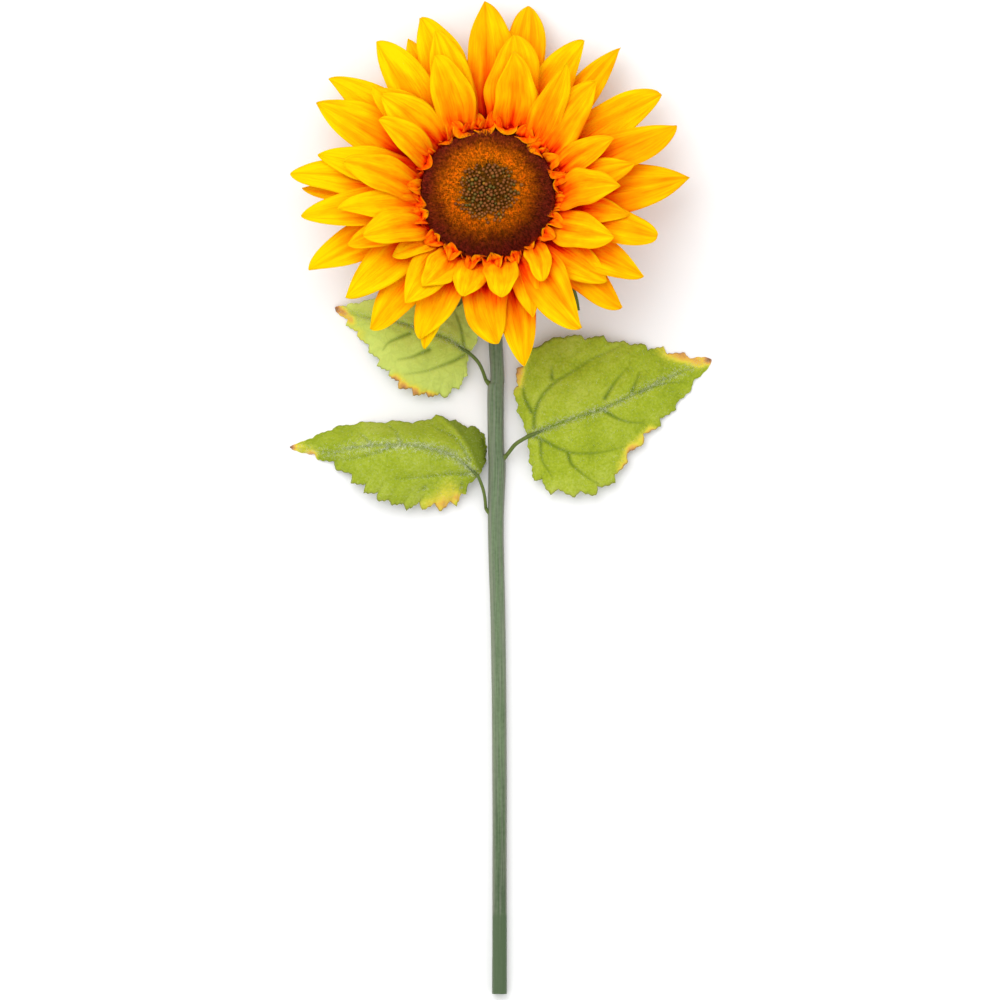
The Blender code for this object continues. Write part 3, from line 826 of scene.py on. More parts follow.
def disc_height(radius):
    """The smooth top of the disc: a steep rim, a raised ring and a shallow dip in the middle."""
    share = min(radius / DISC_RADIUS, 1)
    crown = CROWN * (1 - share**DOME_POWER) ** DOME_ROOT
    return DISC_EDGE + crown - DIP * math.exp(-((share / DIP_WIDTH) ** 2))


def disc_normal(radius, angle):
    """The direction straight out of the disc's top. The rim's slope is limited to a steep bank."""
    inner = max(radius - SLOPE_STEP, 0)
    outer = min(radius + SLOPE_STEP, DISC_RADIUS)
    fall = (disc_height(inner) - disc_height(outer)) / (outer - inner)
    return round_point(fall, angle, 1).normalized()


def bead_zone(angle):
    """Radius of the beaded middle, with its wandering edge. It reaches further towards the stem."""
    wander = 0.05 * math.sin(3 * angle + 0.6) + 0.04 * math.sin(5 * angle + 2.2)
    wander += 0.03 * math.sin(11 * angle) - 0.12 * math.sin(angle)
    return BEAD_ZONE * (1 + wander)

# %% [markdown]
# The colour of the flock goes by how far out a bristle stands, with its own small change from bristle to
# bristle and noise that frays the border between the ring and the rim. Each bristle is also painted darker at
# its foot and lighter at its tip, as painted shade and light among the bristles.

# %% Flock colours
def flock_paint(name, strength):
    """Flock colours from the middle to the rim. Strength below 1 darkens them all, as painted shade."""
    paint = Paint(name, 0.9, 0.02)
    where = paint.everywhere()
    chance = paint.number("chance")
    reach = paint.number("reach")
    fan = paint.place(paint.number("east"), paint.number("north"), paint.product(reach, 0.35))
    rays = paint.noise(fan, 17, 3)
    clumps = paint.noise(where, 460, 3)
    fray = paint.noise(where, 80, 4)
    shady = paint.number("shady")
    spread = paint.total(-0.30, (reach, 1.0), (fray, 0.24), (rays, 0.26), (chance, 0.10), (shady, 0.05))
    colour = paint.ramp(
        spread,
        (0.00, (0.21, 0.072, 0.008)),
        (0.38, (0.25, 0.086, 0.005)),
        (0.46, (0.93, 0.250, 0.003)),
        (0.64, (0.95, 0.225, 0.003)),
        (0.77, (0.44, 0.080, 0.004)),
        (0.88, (0.24, 0.034, 0.007)),
        (1.00, (0.22, 0.022, 0.012)),
    )
    shade = paint.product(
        paint.span(chance, 0.0, 1.0, 0.50, 1.52),
        # Painted shade at the bristle's foot and painted light at its tip
        paint.span(paint.number("tip"), 0, 1, 0.7, 1.2),
        paint.span(clumps, 0.34, 0.66, 0.60, 1.30),
        paint.span(rays, 0.36, 0.64, 0.85, 1.12),
        strength,
    )
    grey = paint.add("CombineColor", {0: shade, 1: shade, 2: shade}).outputs[0]
    paint.set("Base Color", paint.mix(1.0, colour, grey, "MULTIPLY"))
    return paint


flock = flock_paint("disc_flock", 1.0)
# Painted shade: the core under the bristles is darker
flock_core = flock_paint("disc_core", 0.75)

# %% [markdown]
# ## Disc core
# The core is the same dome, set in by the length of the bristles, and painted darker than they are: painted
# shade for the dark between the bristles.

# %% Disc core
BRISTLE = 1.8 * MM
DISC_SEAT = 8.3 * MM
SHADY_SIDE = math.radians(-35)
MIDDLING = 0.5
CORE_RINGS = 26
CORE_SIDES = 110


def tell_flock(grid, share, angle, chance, tips):
    """Adds what the flock's paint reads, for the points of one place. The shady side is the darker one."""
    facts = {
        "reach": share,
        "chance": chance,
        "shady": max(0, math.cos(angle - SHADY_SIDE)),
        "east": math.cos(angle),
        "north": math.sin(angle),
    }
    grid.tell({title: [value] * len(tips) for title, value in facts.items()})
    grid.tell({"tip": tips})


core = Grid()
core_rows = []
core_angles = turns(CORE_SIDES)
for i in range(CORE_RINGS + 2):
    share = math.sin(math.pi / 2 * min((i + 0.15) / CORE_RINGS, 1))
    height = disc_height(share * DISC_RADIUS) - BRISTLE if i <= CORE_RINGS else DISC_SEAT
    core_rows.append([round_point(share * (DISC_RADIUS - BRISTLE), angle, height) for angle in core_angles])
    for angle in core_angles:
        tell_flock(core, share, angle, MIDDLING, [MIDDLING])
core.add_tube(core_rows)
bloom_piece("disc_core", core, flock_core, "seed_disc", "seed_brown")

# %% [markdown]
# ## Flock bristles
# Each bristle is a spike with four points and four faces, so that 45,000 of them stay light. They stand
# straight out of the dome with a little disorder and lean outwards near the rim, where a few are much
# longer than the rest. Those in the beaded middle are short.

# %% Bristles
BRISTLES = 31000
RIM_BRISTLES = 14000
RIM_BANK = 0.62
BRISTLE_LENGTHS = {"beads": (0.35, 0.6), "ring": (0.85, 1.4), "rim": (1.0, 2.8)}
RIM_RARITY = 2.2
BRISTLE_WIDTH = 0.25 * MM
BRISTLE_STRAY = 0.45
BRISTLE_LEAN = 0.85
FLOCK_RADIUS = 0.975 * DISC_RADIUS

flock_draw = random.Random(SEED + 20)
bristles = Grid()
for i in range(BRISTLES + RIM_BRISTLES):
    at_rim = i >= BRISTLES
    share = math.sqrt(flock_draw.random())
    if at_rim:
        share = (1 - flock_draw.uniform(0, RIM_BANK) ** (1 / DOME_ROOT)) ** (1 / DOME_POWER)
    angle = flock_draw.uniform(0, 2 * math.pi)
    radius = share * FLOCK_RADIUS
    chance = flock_draw.random()
    normal = disc_normal(radius, angle)
    zone = "beads" if radius < bead_zone(angle) else "rim" if at_rim else "ring"
    shortest, longest = BRISTLE_LENGTHS[zone]
    growth = flock_draw.random() ** (RIM_RARITY if at_rim else 1)
    length = BRISTLE * (shortest + (longest - shortest) * growth)
    stray = Vector([flock_draw.uniform(-1, 1) for _ in range(3)]) * BRISTLE_STRAY
    lean = (normal + stray + round_point(BRISTLE_LEAN * share, angle, 0)).normalized()
    foot = round_point(radius, angle, disc_height(radius)) - normal * BRISTLE
    width = BRISTLE_WIDTH * flock_draw.uniform(0.7, 1.3) * (1 + 0.5 * share**4)
    bristles.add_spike(foot, foot + lean * length, width)
    tell_flock(bristles, share, angle, chance, [0, 0, 0, 1])
bloom_piece("disc_bristles", bristles, flock, "seed_disc", "seed_brown")

# %% [markdown]
# ## Beads
# The beads in the middle are brown-pink, and some are green or yellow. One number, drawn for each bead, picks
# its kind from a ramp of colours. Each crown has a painted highlight, and the foot is painted darker as
# painted shade, because little light gets there.

# %% Bead colours
bead_paint = Paint("disc_beads", 0.5, 0.08)
bead_rise = bead_paint.number("tip")
bead_kinds = bead_paint.ramp(
    bead_paint.number("chance"),
    (0.00, (0.050, 0.075, 0.006)),
    (0.12, (0.110, 0.080, 0.008)),
    (0.24, (0.160, 0.040, 0.006)),
    (0.85, (0.260, 0.070, 0.012)),
    (0.95, (0.300, 0.115, 0.010)),
    (1.00, (0.420, 0.210, 0.010)),
)
# Painted shade at the foot of each bead
bead_foot = bead_paint.span(bead_rise, 0.1, 1.0, 0.30, 0.85)
bead_colour = bead_paint.mix(bead_foot, (0.085, 0.048, 0.006), bead_kinds)
# Painted highlight on the crown of each bead
bead_crown_highlight = bead_paint.span(bead_rise, 0.60, 1.0, 0.0, 0.24)
bead_paint.set("Base Color", bead_paint.mix(bead_crown_highlight, bead_colour, (0.40, 0.17, 0.075)))
bead_paint.bump(bead_paint.noise(bead_paint.everywhere(), 1600, 3), 0.1 * MM)

# %% [markdown]
# The beads sit on a spiral with the golden angle, the way buds pack on a real disc, with a little disorder
# and a few missing. Each is a small dome on a closed foot. A real bead is nearly smooth, so few sides do.

# %% Beads
GOLDEN_ANGLE = math.pi * (3 - math.sqrt(5))
BEAD_SPACING = 1.46 * MM
BEAD_RADIUS = 1.38 * MM
BEAD_SINK = 0.6 * MM
BEAD_PROFILE = ((0.55, -0.8), (0.95, -0.35), (1.0, 0.1), (0.86, 0.55), (0.52, 0.87), (0.12, 1.0))
BEAD_SIDES = 10
BEAD_STRAY = 0.5 * MM
BEADS_END = 28 * MM
MISSING_BEADS = 0.1

bead_draw = random.Random(SEED + 40)
bead_tips = [max(0, rise) for _, rise in BEAD_PROFILE for _ in range(BEAD_SIDES)]
beads = Grid()
for i in range(int((BEADS_END / BEAD_SPACING) ** 2)):
    radius = BEAD_SPACING * math.sqrt(i + 0.5) + bead_draw.uniform(-BEAD_STRAY, BEAD_STRAY)
    angle = i * GOLDEN_ANGLE + bead_draw.uniform(-0.4, 0.4) * MM / radius
    size = BEAD_RADIUS * bead_draw.uniform(0.66, 1.08)
    chance = bead_draw.random()
    missing = bead_draw.random() < MISSING_BEADS
    if radius > bead_zone(angle) * bead_draw.uniform(0.9, 1.08) or missing:
        continue
    normal = disc_normal(radius, angle)
    middle = round_point(radius, angle, disc_height(radius) - BEAD_SINK)
    ring = [out * size for out in ring_about(normal, BEAD_SIDES)]
    levels = [(reach, middle + normal * (rise * size)) for reach, rise in BEAD_PROFILE]
    beads.add_tube([[level + out * reach for out in ring] for reach, level in levels])
    beads.tell({"tip": bead_tips, "chance": [chance] * len(bead_tips)})
bloom_piece("disc_beads", beads, bead_paint, "seed_disc", "seed_brown")
print("beads:", len(beads.points) // len(bead_tips))

# %% [markdown]
# ## Calyx
# Behind the petals a shallow bowl holds everything, with two rows of pointed bracts. Both have the same
# mottled green. Their veins run lengthwise and are only a bump, because they are seen from far off.

# %% Calyx green
calyx_green = Paint("calyx_green", 0.62, 0.25)
calyx_mottle = calyx_green.noise(calyx_green.everywhere(), 90, 4)
calyx_green.set("Base Color", calyx_green.ramp(
    calyx_green.total(0.0, (calyx_mottle, 0.7), (calyx_green.number("along"), 0.3)),
    (0.15, (0.050, 0.085, 0.015)),
    (0.50, (0.105, 0.165, 0.028)),
    (0.85, (0.190, 0.250, 0.055)),
))
calyx_green.bump(calyx_green.grain(9, 1, 1.6, 3), 0.6 * MM)

# %% [markdown]
# The bowl is turned like the hub. A weak ripple, two waves to a bract, shows where the bracts grow out.

# %% Bowl
BOWL_PROFILE = ((7.2, -16.0), (12, -15.4), (24, -12.6), (35, -9.0), (42, -5.4), (45.5, -2.0), (45.5, -0.3))
BOWL_RINGS = 24
BOWL_SIDES = 156
BOWL_VEINS = 8
BOWL_TONE = 0.2
RIPPLES = 26
RIPPLE_HEIGHT = 0.35 * MM
RIPPLE_RADIUS = 30 * MM


def bowl_ripple(radius, angle):
    return RIPPLE_HEIGHT * math.sin(RIPPLES * angle) * min(1, radius / RIPPLE_RADIUS)


bowl = turned(BOWL_PROFILE, BOWL_RINGS, BOWL_SIDES, bowl_ripple)
bowl_veins = [BOWL_VEINS * k / BOWL_SIDES for _ in range(BOWL_RINGS + 1) for k in range(BOWL_SIDES)]
count = len(bowl_veins)
bowl.tell({"across": bowl_veins, "along": [BOWL_TONE] * count, "seed": [0.0] * count})
bloom_piece("calyx_bowl", bowl, calyx_green, "calyx", "bract_green", sharp=60)

# %% [markdown]
# Bracts are pointed leaves of the calyx. They are made with the petals' line and outline. From above only the
# tip of one shows, dark olive, and from behind all of them. Where one would go through the table, it is
# lifted to it.

# %% Bracts
BRACT_ROOT = 36 * MM
BRACT_WIDTH = 19 * MM
BRACT_THICKNESS = 0.5 * MM
BRACT_ARCH = 0.07
BRACT_CUPS = (0.1, -0.1)
BRACT_SIZE = 0.45
BRACT_STEPS = (24, 12)
BRACT_ROWS = (
    (308, -5.2, 6.5, (101, 87, 91, 88, 99, 101, 99, 90, 86, 90, 87, 79, 84)),
    (322, -8.0, 9.0, (73, 70, 72, 71, 74, 73, 70, 72, 69, 73, 71, 70, 72)),
)

bract_draw = random.Random(SEED + 1)
bracts = Grid()
for first_azimuth, root_height, droop, reaches in BRACT_ROWS:
    for k, reach in enumerate(reaches):
        azimuth = first_azimuth + 360 * k / len(reaches)
        root = polar(BRACT_ROOT, azimuth, root_height * MM)
        lift = -droop + bract_draw.uniform(-2, 1)
        tip = root + slope(reach * MM - BRACT_ROOT, azimuth + bract_draw.uniform(-3, 3), lift)
        folds = draw_folds(BRACT_SIZE)
        folds["hook"] = 0
        line = blade_line(root, tip, BRACT_ARCH, azimuth)
        add_petal(bracts, line, BRACT_WIDTH, 0, BRACT_CUPS, folds, BRACT_STEPS)
move_to_bloom(bracts)
for point in bracts.points:
    point.z = max(point.z, 0.5 * BRACT_THICKNESS)
new_piece("calyx_bracts", bracts, calyx_green, "calyx", "bract_green", BRACT_THICKNESS)

# %% [markdown]
# ## Stem
# The stem is a plastic tube over a wire, matt grey-green, with lengthwise ribs. It lies along the table and
# bends up into the calyx. Its middle line is the same as in the model, as stations with a heading and a
# radius.

# %% Stem line
STEM_LINE = (
    (-348, -0.7, 5.1), (-246, -0.6, 4.9), (-176, -0.8, 5.0), (-94, -1.6, 5.1), (-48, -2.8, 5.3),
    (-15, -3.3, 5.5), (22, -2.5, 6.0), (36, -3.3, 5.5), (76, -3.4, 5.7), (88, -2.3, 4.8), (150, -6.2, 5.2),
)
STEM_REST = 4.5 * MM
STEM_STATIONS = 220
NECK_RADIUS = 20 * MM
NECK_STATIONS = 26
NECK_THICKNESS = (5.4, 6.6)
CALYX_FOOT = -16.3 * MM


def stem_stations():
    """The stem's middle line with its heading and radius, from the cut end to the calyx."""
    foot = BLOOM_FRAME @ Vector((0, 0, CALYX_FOOT))
    turn = math.pi / 2 - BLOOM_LEAN
    rise = NECK_RADIUS * (1 - math.cos(turn))
    tail = (foot.z - STEM_REST - rise) / math.cos(BLOOM_LEAN)
    bend_start = foot.y - tail * math.sin(BLOOM_LEAN) - NECK_RADIUS * math.sin(turn)
    knots = [(y * MM, x * MM, r * MM) for y, x, r in STEM_LINE]
    knots.append((bend_start, foot.x, NECK_THICKNESS[0] * MM))
    line = []
    for share in shares(STEM_STATIONS):
        y, x, radius = along(knots, share)
        line.append((Vector((x, y, STEM_REST)), Vector((0, 1, 0)), radius))
    for share in shares(NECK_STATIONS)[1:]:
        angle = turn * share
        thick = NECK_THICKNESS[0] + (NECK_THICKNESS[1] - NECK_THICKNESS[0]) * share
        spot = Vector((foot.x, bend_start + NECK_RADIUS * math.sin(angle), 0))
        spot.z = STEM_REST + NECK_RADIUS * (1 - math.cos(angle))
        line.append((spot, Vector((0, math.cos(angle), math.sin(angle))), thick * MM))
    line.append((foot, line[-1][1], NECK_THICKNESS[1] * MM))
    return line

# %% [markdown]
# A tube is swept along such stations. Blender could bevel a curve instead, but then the ribs, the flat side
# on the table and the numbers for the paint would be hard to give.

# %% Sweep
def sweep(grid, line, sides, section):
    """Adds a tube along (point, heading, radius) stations, flat on the table. Section scales the radius."""
    rows = []
    numbers = {"around": [], "run": []}
    run = 0
    for i, (point, heading, radius) in enumerate(line):
        run += (point - line[max(i - 1, 0)][0]).length
        side = (Vector((1, 0, 0)) - heading * heading.x).normalized()
        up = side.cross(heading)
        row = []
        for angle in turns(sides):
            spot = point + (side * math.cos(angle) + up * math.sin(angle)) * (radius * section(angle, run))
            spot.z = max(spot.z, 0)
            row.append(spot)
            numbers["around"].append(angle)
            numbers["run"].append(run)
        rows.append(row)
    # The rows run the other way round, which turns the faces outwards
    grid.add_tube(rows[::-1])
    grid.tell({title: values[::-1] for title, values in numbers.items()})

# %% [markdown]
# The colour of the stem goes round it as well as along it: a darker line down the middle of the top, where
# the two halves of the mould meet, paler, greyer flanks, and a painted highlight that makes the left flank
# lighter. The cut end was dipped in plain green.

# %% Stem green
def stem_paint(name, dark, plain, pale, flank_tint, dipped):
    """Streaked green, greyer at the flanks, with a painted highlight on the left flank.
    From the start of the run to `dipped` it is the plain green.
    """
    paint = Paint(name, 0.6, 0.15)
    run = paint.number("run")
    top = paint.calc("SINE", paint.number("around"))
    right = paint.calc("COSINE", paint.number("around"))
    where = paint.place(paint.product(top, 3), paint.product(run, 12), paint.product(right, 3))
    streaks = paint.noise(where, 2.8, 5, 0.62)
    mottle = paint.noise(paint.everywhere(), 420, 3)
    # Painted highlight: the left flank is lighter
    left_flank_highlight = paint.span(right, -0.95, -0.5, 1.0, 0.0)
    tone = paint.total(
        -0.13,
        (streaks, 0.85),
        (mottle, 0.3),
        (paint.span(top, 0.05, 0.55, 1.0, 0.0), 0.20),
        (left_flank_highlight, 0.10),
        (paint.span(top, 0.955, 0.998), -0.28),
        (paint.span(run, dipped, dipped + 0.15, 1.0, 0.0), -0.20),
    )
    green = paint.ramp(tone, (0.1, dark), (0.45, plain), (0.9, pale))
    # Grey patches and flanks, with the painted highlight on the left flank
    greying_and_highlight = paint.total(
        0.0,
        (paint.span(paint.noise(where, 1.2, 3), 0.40, 0.70), 0.28),
        (paint.span(right, 0.55, 0.95), 0.40),
        (left_flank_highlight, 0.30),
    )
    green = paint.mix(greying_and_highlight, green, flank_tint)
    paint.set("Base Color", paint.mix(paint.span(run, dipped, dipped + 0.006, 0.8, 0.0), green, plain))
    paint.bump(paint.total(0.0, (streaks, 1.0), (mottle, 0.3)), 0.3 * MM)
    return paint


stem_green = stem_paint(
    "stem_green",
    dark=(0.018, 0.045, 0.015),
    plain=(0.078, 0.122, 0.058),
    pale=(0.200, 0.280, 0.150),
    flank_tint=(0.290, 0.255, 0.240),
    dipped=0.053,
)

# %% [markdown]
# The stem's skin has seven ribs, finer lines between them, a shallow groove where the halves of the mould
# meet, and a slow unevenness along its length. All of them only change the radius.

# %% Stem
STEM_SIDES = 56
RIBS = 7
RIB_HEIGHT = 0.03
LINES = 21
LINE_HEIGHT = 0.005
SEAM_DEPTH = 0.035
SEAM_WIDTH = 0.16
UNEVENNESS = 0.012


def stem_section(angle, run):
    ribs = RIB_HEIGHT * math.cos(RIBS * angle + math.pi / 2)
    ribs += LINE_HEIGHT * math.cos(LINES * angle + 9 * run)
    seam = SEAM_DEPTH * math.exp(-(((angle - math.pi / 2) / SEAM_WIDTH) ** 2))
    return 1 + ribs - seam + UNEVENNESS * math.sin(55 * run) * math.sin(3 * angle + 21 * run)


stem = Grid()
sweep(stem, stem_stations(), STEM_SIDES, stem_section)
new_piece("stem_skin", stem, stem_green, "stem", "stem_green", sharp=60)

# %% [markdown]
# ## Leaves
# A leaf is stiffened cloth, cut with uneven teeth and pressed so that its veins lie in grooves. The outline
# points lie between the base and the tip along each side of the middle rib, in millimetres as seen from
# above, and the ridge gives the height of the rib. Vein lines follow the picture.

# %% Leaf shapes
LEAVES = {
    "leaf_right": {
        "base": (19.3, 43.4),
        "tip": (148.8, 97.3),
        "rib": ((45, 52), (72.5, 61.6), (111.7, 77.5)),
        "left": (
            (15.2, 55), (10.9, 70), (12.5, 87), (22, 103.5), (42, 112.8), (61, 113),
            (80, 109.5), (97, 107.5), (112, 103.5), (130, 99.8),
        ),
        "right": (
            (20.5, 31), (23, 18), (34, 7), (52, 3), (68, 5.5), (82, 17),
            (93, 34), (107, 49), (120, 62), (134, 78),
        ),
        "ridge": (12, 17, 16, 9, 0.5),
        "fall": (9, 9),
        "petiole": ((4.6, 30.4, 7.0), (10.5, 37.6, 11.0), (19.3, 43.4, 12.3)),
        "stalk": 1.35,
        "teeth": (0.9, 1.1),
        "seed": 3,
        "midrib": ((41.7, 52.5), (72.4, 63), (92, 72), (112, 82)),
        "veins": (
            (
                (23.4, 49), (24.2, 60.2), (29, 71.4), (38.2, 81.2),
                (48.7, 87.5), (62.7, 96.6), (76.7, 102.9), (87, 108),
            ),
            ((22, 60.2), (17.2, 70), (15.8, 79.1), (16.5, 86)),
            ((36, 84), (36, 93)),
            ((73.2, 70), (80.2, 81.2), (88.6, 91)),
            ((92, 74.2), (94.9, 81.2), (97.7, 88.2)),
            ((97.7, 74.2), (106.1, 77.7), (115.2, 80.5), (129.2, 81.2)),
            ((73.2, 60.9), (81.6, 56), (90.7, 53.2), (101.2, 52.5)),
            (
                (23.4, 43.4), (31.2, 39.9), (41.7, 34.3), (52.2, 31.5),
                (66.2, 31.5), (78.1, 33.6), (89.3, 37.1),
            ),
            ((28.4, 40.6), (28.4, 32.2), (29.8, 25.2), (36.8, 14)),
            ((47.3, 32.2), (49.4, 24.5), (54.3, 19.6), (62.7, 13.3), (69.7, 9.8)),
        ),
        "warm": (
            (147, 97.6, 4, 0.90), (137, 97.5, 6, 0.46), (128, 100, 6, 0.50), (119, 101, 7, 0.38),
            (110, 103, 6, 0.22), (141, 93, 5, 0.24), (12.5, 89, 5, 0.60), (12.5, 81, 5, 0.44),
            (12, 73, 4, 0.26), (17, 96, 5, 0.22), (106, 47, 6, 0.46), (99, 41, 6, 0.38),
            (92, 34, 5, 0.56), (88, 27, 7, 0.34), (85, 20, 6, 0.26),
        ),
        "down": (0.6, 0.1),
        "vein": 1.0,
        "dull": 0.04,
        "pale": 0.0,
    },
    "leaf_left": {
        "base": (-15.8, 15.4),
        "tip": (-148.8, 35.7),
        "rib": ((-31.9, 28.7), (-49.4, 35), (-73.9, 37.8), (-105.4, 36.2)),
        "left": (
            (-22.8, 9.5), (-28.5, 1), (-37.5, -5), (-50, -5.5), (-62, -5), (-73.9, -4),
            (-84, -0.5), (-93, 6), (-103, 13), (-115, 23.5), (-130, 29),
        ),
        "right": (
            (-12.6, 21), (-10.4, 30), (-10.6, 41), (-16, 48.5), (-28, 51.5), (-42.4, 57),
            (-55, 53.8), (-73.9, 53), (-98.4, 52.6), (-116, 49), (-131, 43),
        ),
        "ridge": (13, 24, 28, 25, 14, 0.5),
        "fall": (16, 24),
        "petiole": ((-10.4, -6.5, 6.4), (-11.9, 5.0, 10.5), (-15.8, 15.4, 13.3)),
        "stalk": 1.1,
        "teeth": (1.1, 0.5),
        "seed": 5,
        "midrib": ((-31.9, 28.7), (-49.4, 34.5), (-73.9, 37.1), (-105.4, 35), (-120, 32)),
        "veins": (
            ((-70.4, 39.2), (-73.2, 46.2), (-78.8, 50.4)),
            ((-90.7, 37.8), (-95.6, 42.7), (-99.8, 46.2)),
            ((-73.9, 36.4), (-87.9, 31.5), (-101.9, 28), (-112.4, 26.6)),
            ((-21.4, 16.8), (-35.4, 16.8), (-49.4, 15.4), (-63.4, 14), (-73.9, 13.3)),
            ((-52.9, 7.7), (-57.8, 4.2)),
            ((-27, 9.8), (-29.1, 2.1)),
            ((-21.4, 26.6), (-26.3, 35), (-31.9, 42.7), (-42.4, 47.6), (-49.4, 51.1)),
        ),
        "warm": (
            (-148, 36, 3.5, 0.90), (-141, 35, 6, 0.30), (-133, 30, 4, 0.56), (-128, 33, 8, 0.20),
            (-40, 4, 12, 0.26), (-31, 7, 9, 0.16), (-44, -5, 5, 0.28), (-52, -4, 5, 0.24),
            (-37, -5, 5, 0.34), (-30, 0, 4, 0.30),
        ),
        "down": (0.9, 0.5),
        "vein": 0.6,
        "dull": 0.19,
        "pale": 0.0,
        "fold": ((-43.7, 58.8), (-31.9, 47.6), (-24.2, 36.4), (-20, 26.6), (-16.5, 19.6)),
    },
    "leaf_upper": {
        "base": (-22.8, 102.2),
        "tip": (-116.6, 133.7),
        "rib": ((-35.4, 109.6), (-49.4, 115.4), (-63.4, 120.6), (-90, 127)),
        "left": (
            (-23.5, 94), (-26.5, 82), (-35, 74.6), (-46, 72), (-57, 73), (-68, 78),
            (-76, 85), (-84, 93.5), (-90.7, 104), (-100, 114.5), (-108, 124),
        ),
        "right": (
            (-18.5, 106.4), (-15.4, 115.5), (-16, 128), (-22.8, 139), (-36.8, 147),
            (-52.9, 150), (-68, 147.5), (-82, 142.5), (-94.9, 138), (-106.8, 135.6),
        ),
        "ridge": (12, 19, 21, 19, 11, 1.5),
        "fall": (11, 8),
        "petiole": ((-10.6, 83.6, 6.6), (-15.2, 94.6, 10.5), (-22.8, 102.2, 12.3)),
        "stalk": 1.2,
        "teeth": (1.0, 0.5),
        "seed": 9,
        "midrib": ((-34, 109.9), (-45, 114.8), (-62, 120.4), (-70, 123), (-98, 127.4)),
        "veins": (
            ((-25.6, 103.6), (-26.3, 110.6), (-28.4, 121.1), (-31.9, 130.2), (-34, 137)),
            ((-63.4, 115.5), (-71.8, 112), (-78.8, 108.5), (-82.3, 103.6)),
            ((-24.9, 100.8), (-31.9, 96.6), (-42.4, 92.4), (-52.9, 88.9), (-66.9, 86.8)),
            ((-50, 104), (-62, 99), (-72, 97)),
        ),
        "warm": (
            (-116, 133, 4, 0.85), (-110, 130, 4, 0.56), (-105, 125, 4, 0.50), (-100, 118, 6, 0.26),
            (-96, 112, 6, 0.18), (-74, 83, 5, 0.56), (-68, 78, 4, 0.56), (-60, 74.5, 4, 0.56),
            (-52, 72, 4, 0.54), (-46, 72, 4, 0.34), (-60, 82, 10, 0.16),
        ),
        "down": (0.35, 0.08),
        "vein": 0.9,
        "dull": 0.0,
        "pale": 0.8,
    },
}
for leaf in LEAVES.values():
    for title in ("rib", "left", "right", "midrib"):
        leaf[title] = (leaf["base"], *leaf[title], leaf["tip"])
print("leaves:", sorted(LEAVES))

# %% [markdown]
# ## Leaf cloth
# The cloth is yellow-green and a little uneven. Veins are darker, with the soft edge of a dye. Pale down
# lies in speckles, most of it along the middle rib. Round the tip and at some teeth the green was sprayed
# over with yellow and orange-brown, and `warm` says how strongly. The weave shows as a fine bump.

# %% Leaf cloth
def leaf_paint():
    """Yellow-green cloth. Each coat covers the colour under it where its share says so."""
    paint = Paint("leaf_cloth", 0.85, 0.06)
    where = paint.everywhere()
    patches = paint.noise(where, 45, 3)
    weave = paint.noise(where, 620, 4, 0.65)
    shift = paint.add("TexNoise", {"Vector": where, "Scale": 60.0, "Detail": 2.0}).outputs["Color"]
    bent = paint.add("VectorMath", {0: shift, 1: (0.02, 0.02, 0.02), 2: where}, operation="MULTIPLY_ADD")
    net_cells = {"Vector": bent.outputs[0], "Scale": 110.0}
    net = paint.add("TexVoronoi", net_cells, feature="DISTANCE_TO_EDGE").outputs["Distance"]
    net = paint.span(net, 0.0, 0.16, 0.09, 0.0)
    vein = paint.product(paint.number("vein"), paint.span(weave, 0.30, 0.60, 0.75, 1.0))
    warm = paint.total(-0.30, (paint.number("warm"), 1.0), (patches, 0.35), (weave, 0.25))
    spray = paint.ramp(
        warm,
        (0.15, (0.520, 0.560, 0.040)),
        (0.38, (0.740, 0.640, 0.060)),
        (0.54, (0.740, 0.430, 0.070)),
        (0.70, (0.520, 0.230, 0.080)),
        (0.98, (0.180, 0.090, 0.050)),
    )
    down = paint.product(paint.span(paint.noise(where, 560, 5, 0.75), 0.50, 0.66), paint.number("down"))
    coats = (
        (paint.number("pale"), (0.645, 0.750, 0.180)),
        (paint.calc("MAXIMUM", vein, net), (0.100, 0.168, 0.008)),
        (paint.number("shade"), (0.150, 0.215, 0.014)),
        (paint.span(warm, 0.08, 0.46), spray),
        (down, (0.640, 0.700, 0.420)),
        (paint.number("rim"), (0.180, 0.150, 0.060)),
    )
    colour = paint.ramp(
        paint.total(-0.06, (patches, 0.55), (weave, 0.60)),
        (0.25, (0.190, 0.265, 0.010)),
        (0.50, (0.350, 0.430, 0.022)),
        (0.80, (0.530, 0.590, 0.100)),
    )
    for share, coat in coats:
        colour = paint.mix(share, colour, coat)
    paint.set("Base Color", colour)
    paint.bump(paint.total(0.0, (weave, 0.6), (patches, 1.2), (net, -1.5)), 0.5 * MM)
    return paint


leaf_cloth = leaf_paint()

# %% [markdown]
# ## Leaf blades
# The grid runs from the base to the tip in rows, each from one edge over the middle rib to the other. A
# row for every twelfth of a tooth cuts the teeth sharply. Teeth cut by a picture with holes would have no
# thickness. The height is that of the ridge, less a fall towards the edge, with a slow wave.

# %% Leaf plan
LEAF_TEETH = 13
LEAF_TOOTH = 4.4
TOOTH_ROWS = 12
TOOTH_POINT = 0.75
TOOTH_NICK = 0.4
FRAY = 0.45
FRAYS = 3.3
TOOTH_FADES = (6, 14)
RIB_EASE = 1.45
END_FADE = 4
FALL_POWER = 1.7
WAVE_HEIGHT = 1.5
WAVE_RATE = 9
EDGE_STEP = 0.02
LEAF_ACROSS = 36


def tooth_profile(place, sizes):
    """How far the edge stands out at this place, counted in teeth from the base."""
    tooth = min(int(place), LEAF_TEETH - 1)
    part = place - tooth
    if part <= TOOTH_POINT:
        return sizes[tooth] * ((part / TOOTH_POINT) ** 0.8 - TOOTH_NICK)
    drop = (part - TOOTH_POINT) / (1 - TOOTH_POINT)
    return (1 - TOOTH_NICK) * sizes[tooth] * (1 - drop) - TOOTH_NICK * sizes[tooth + 1] * drop


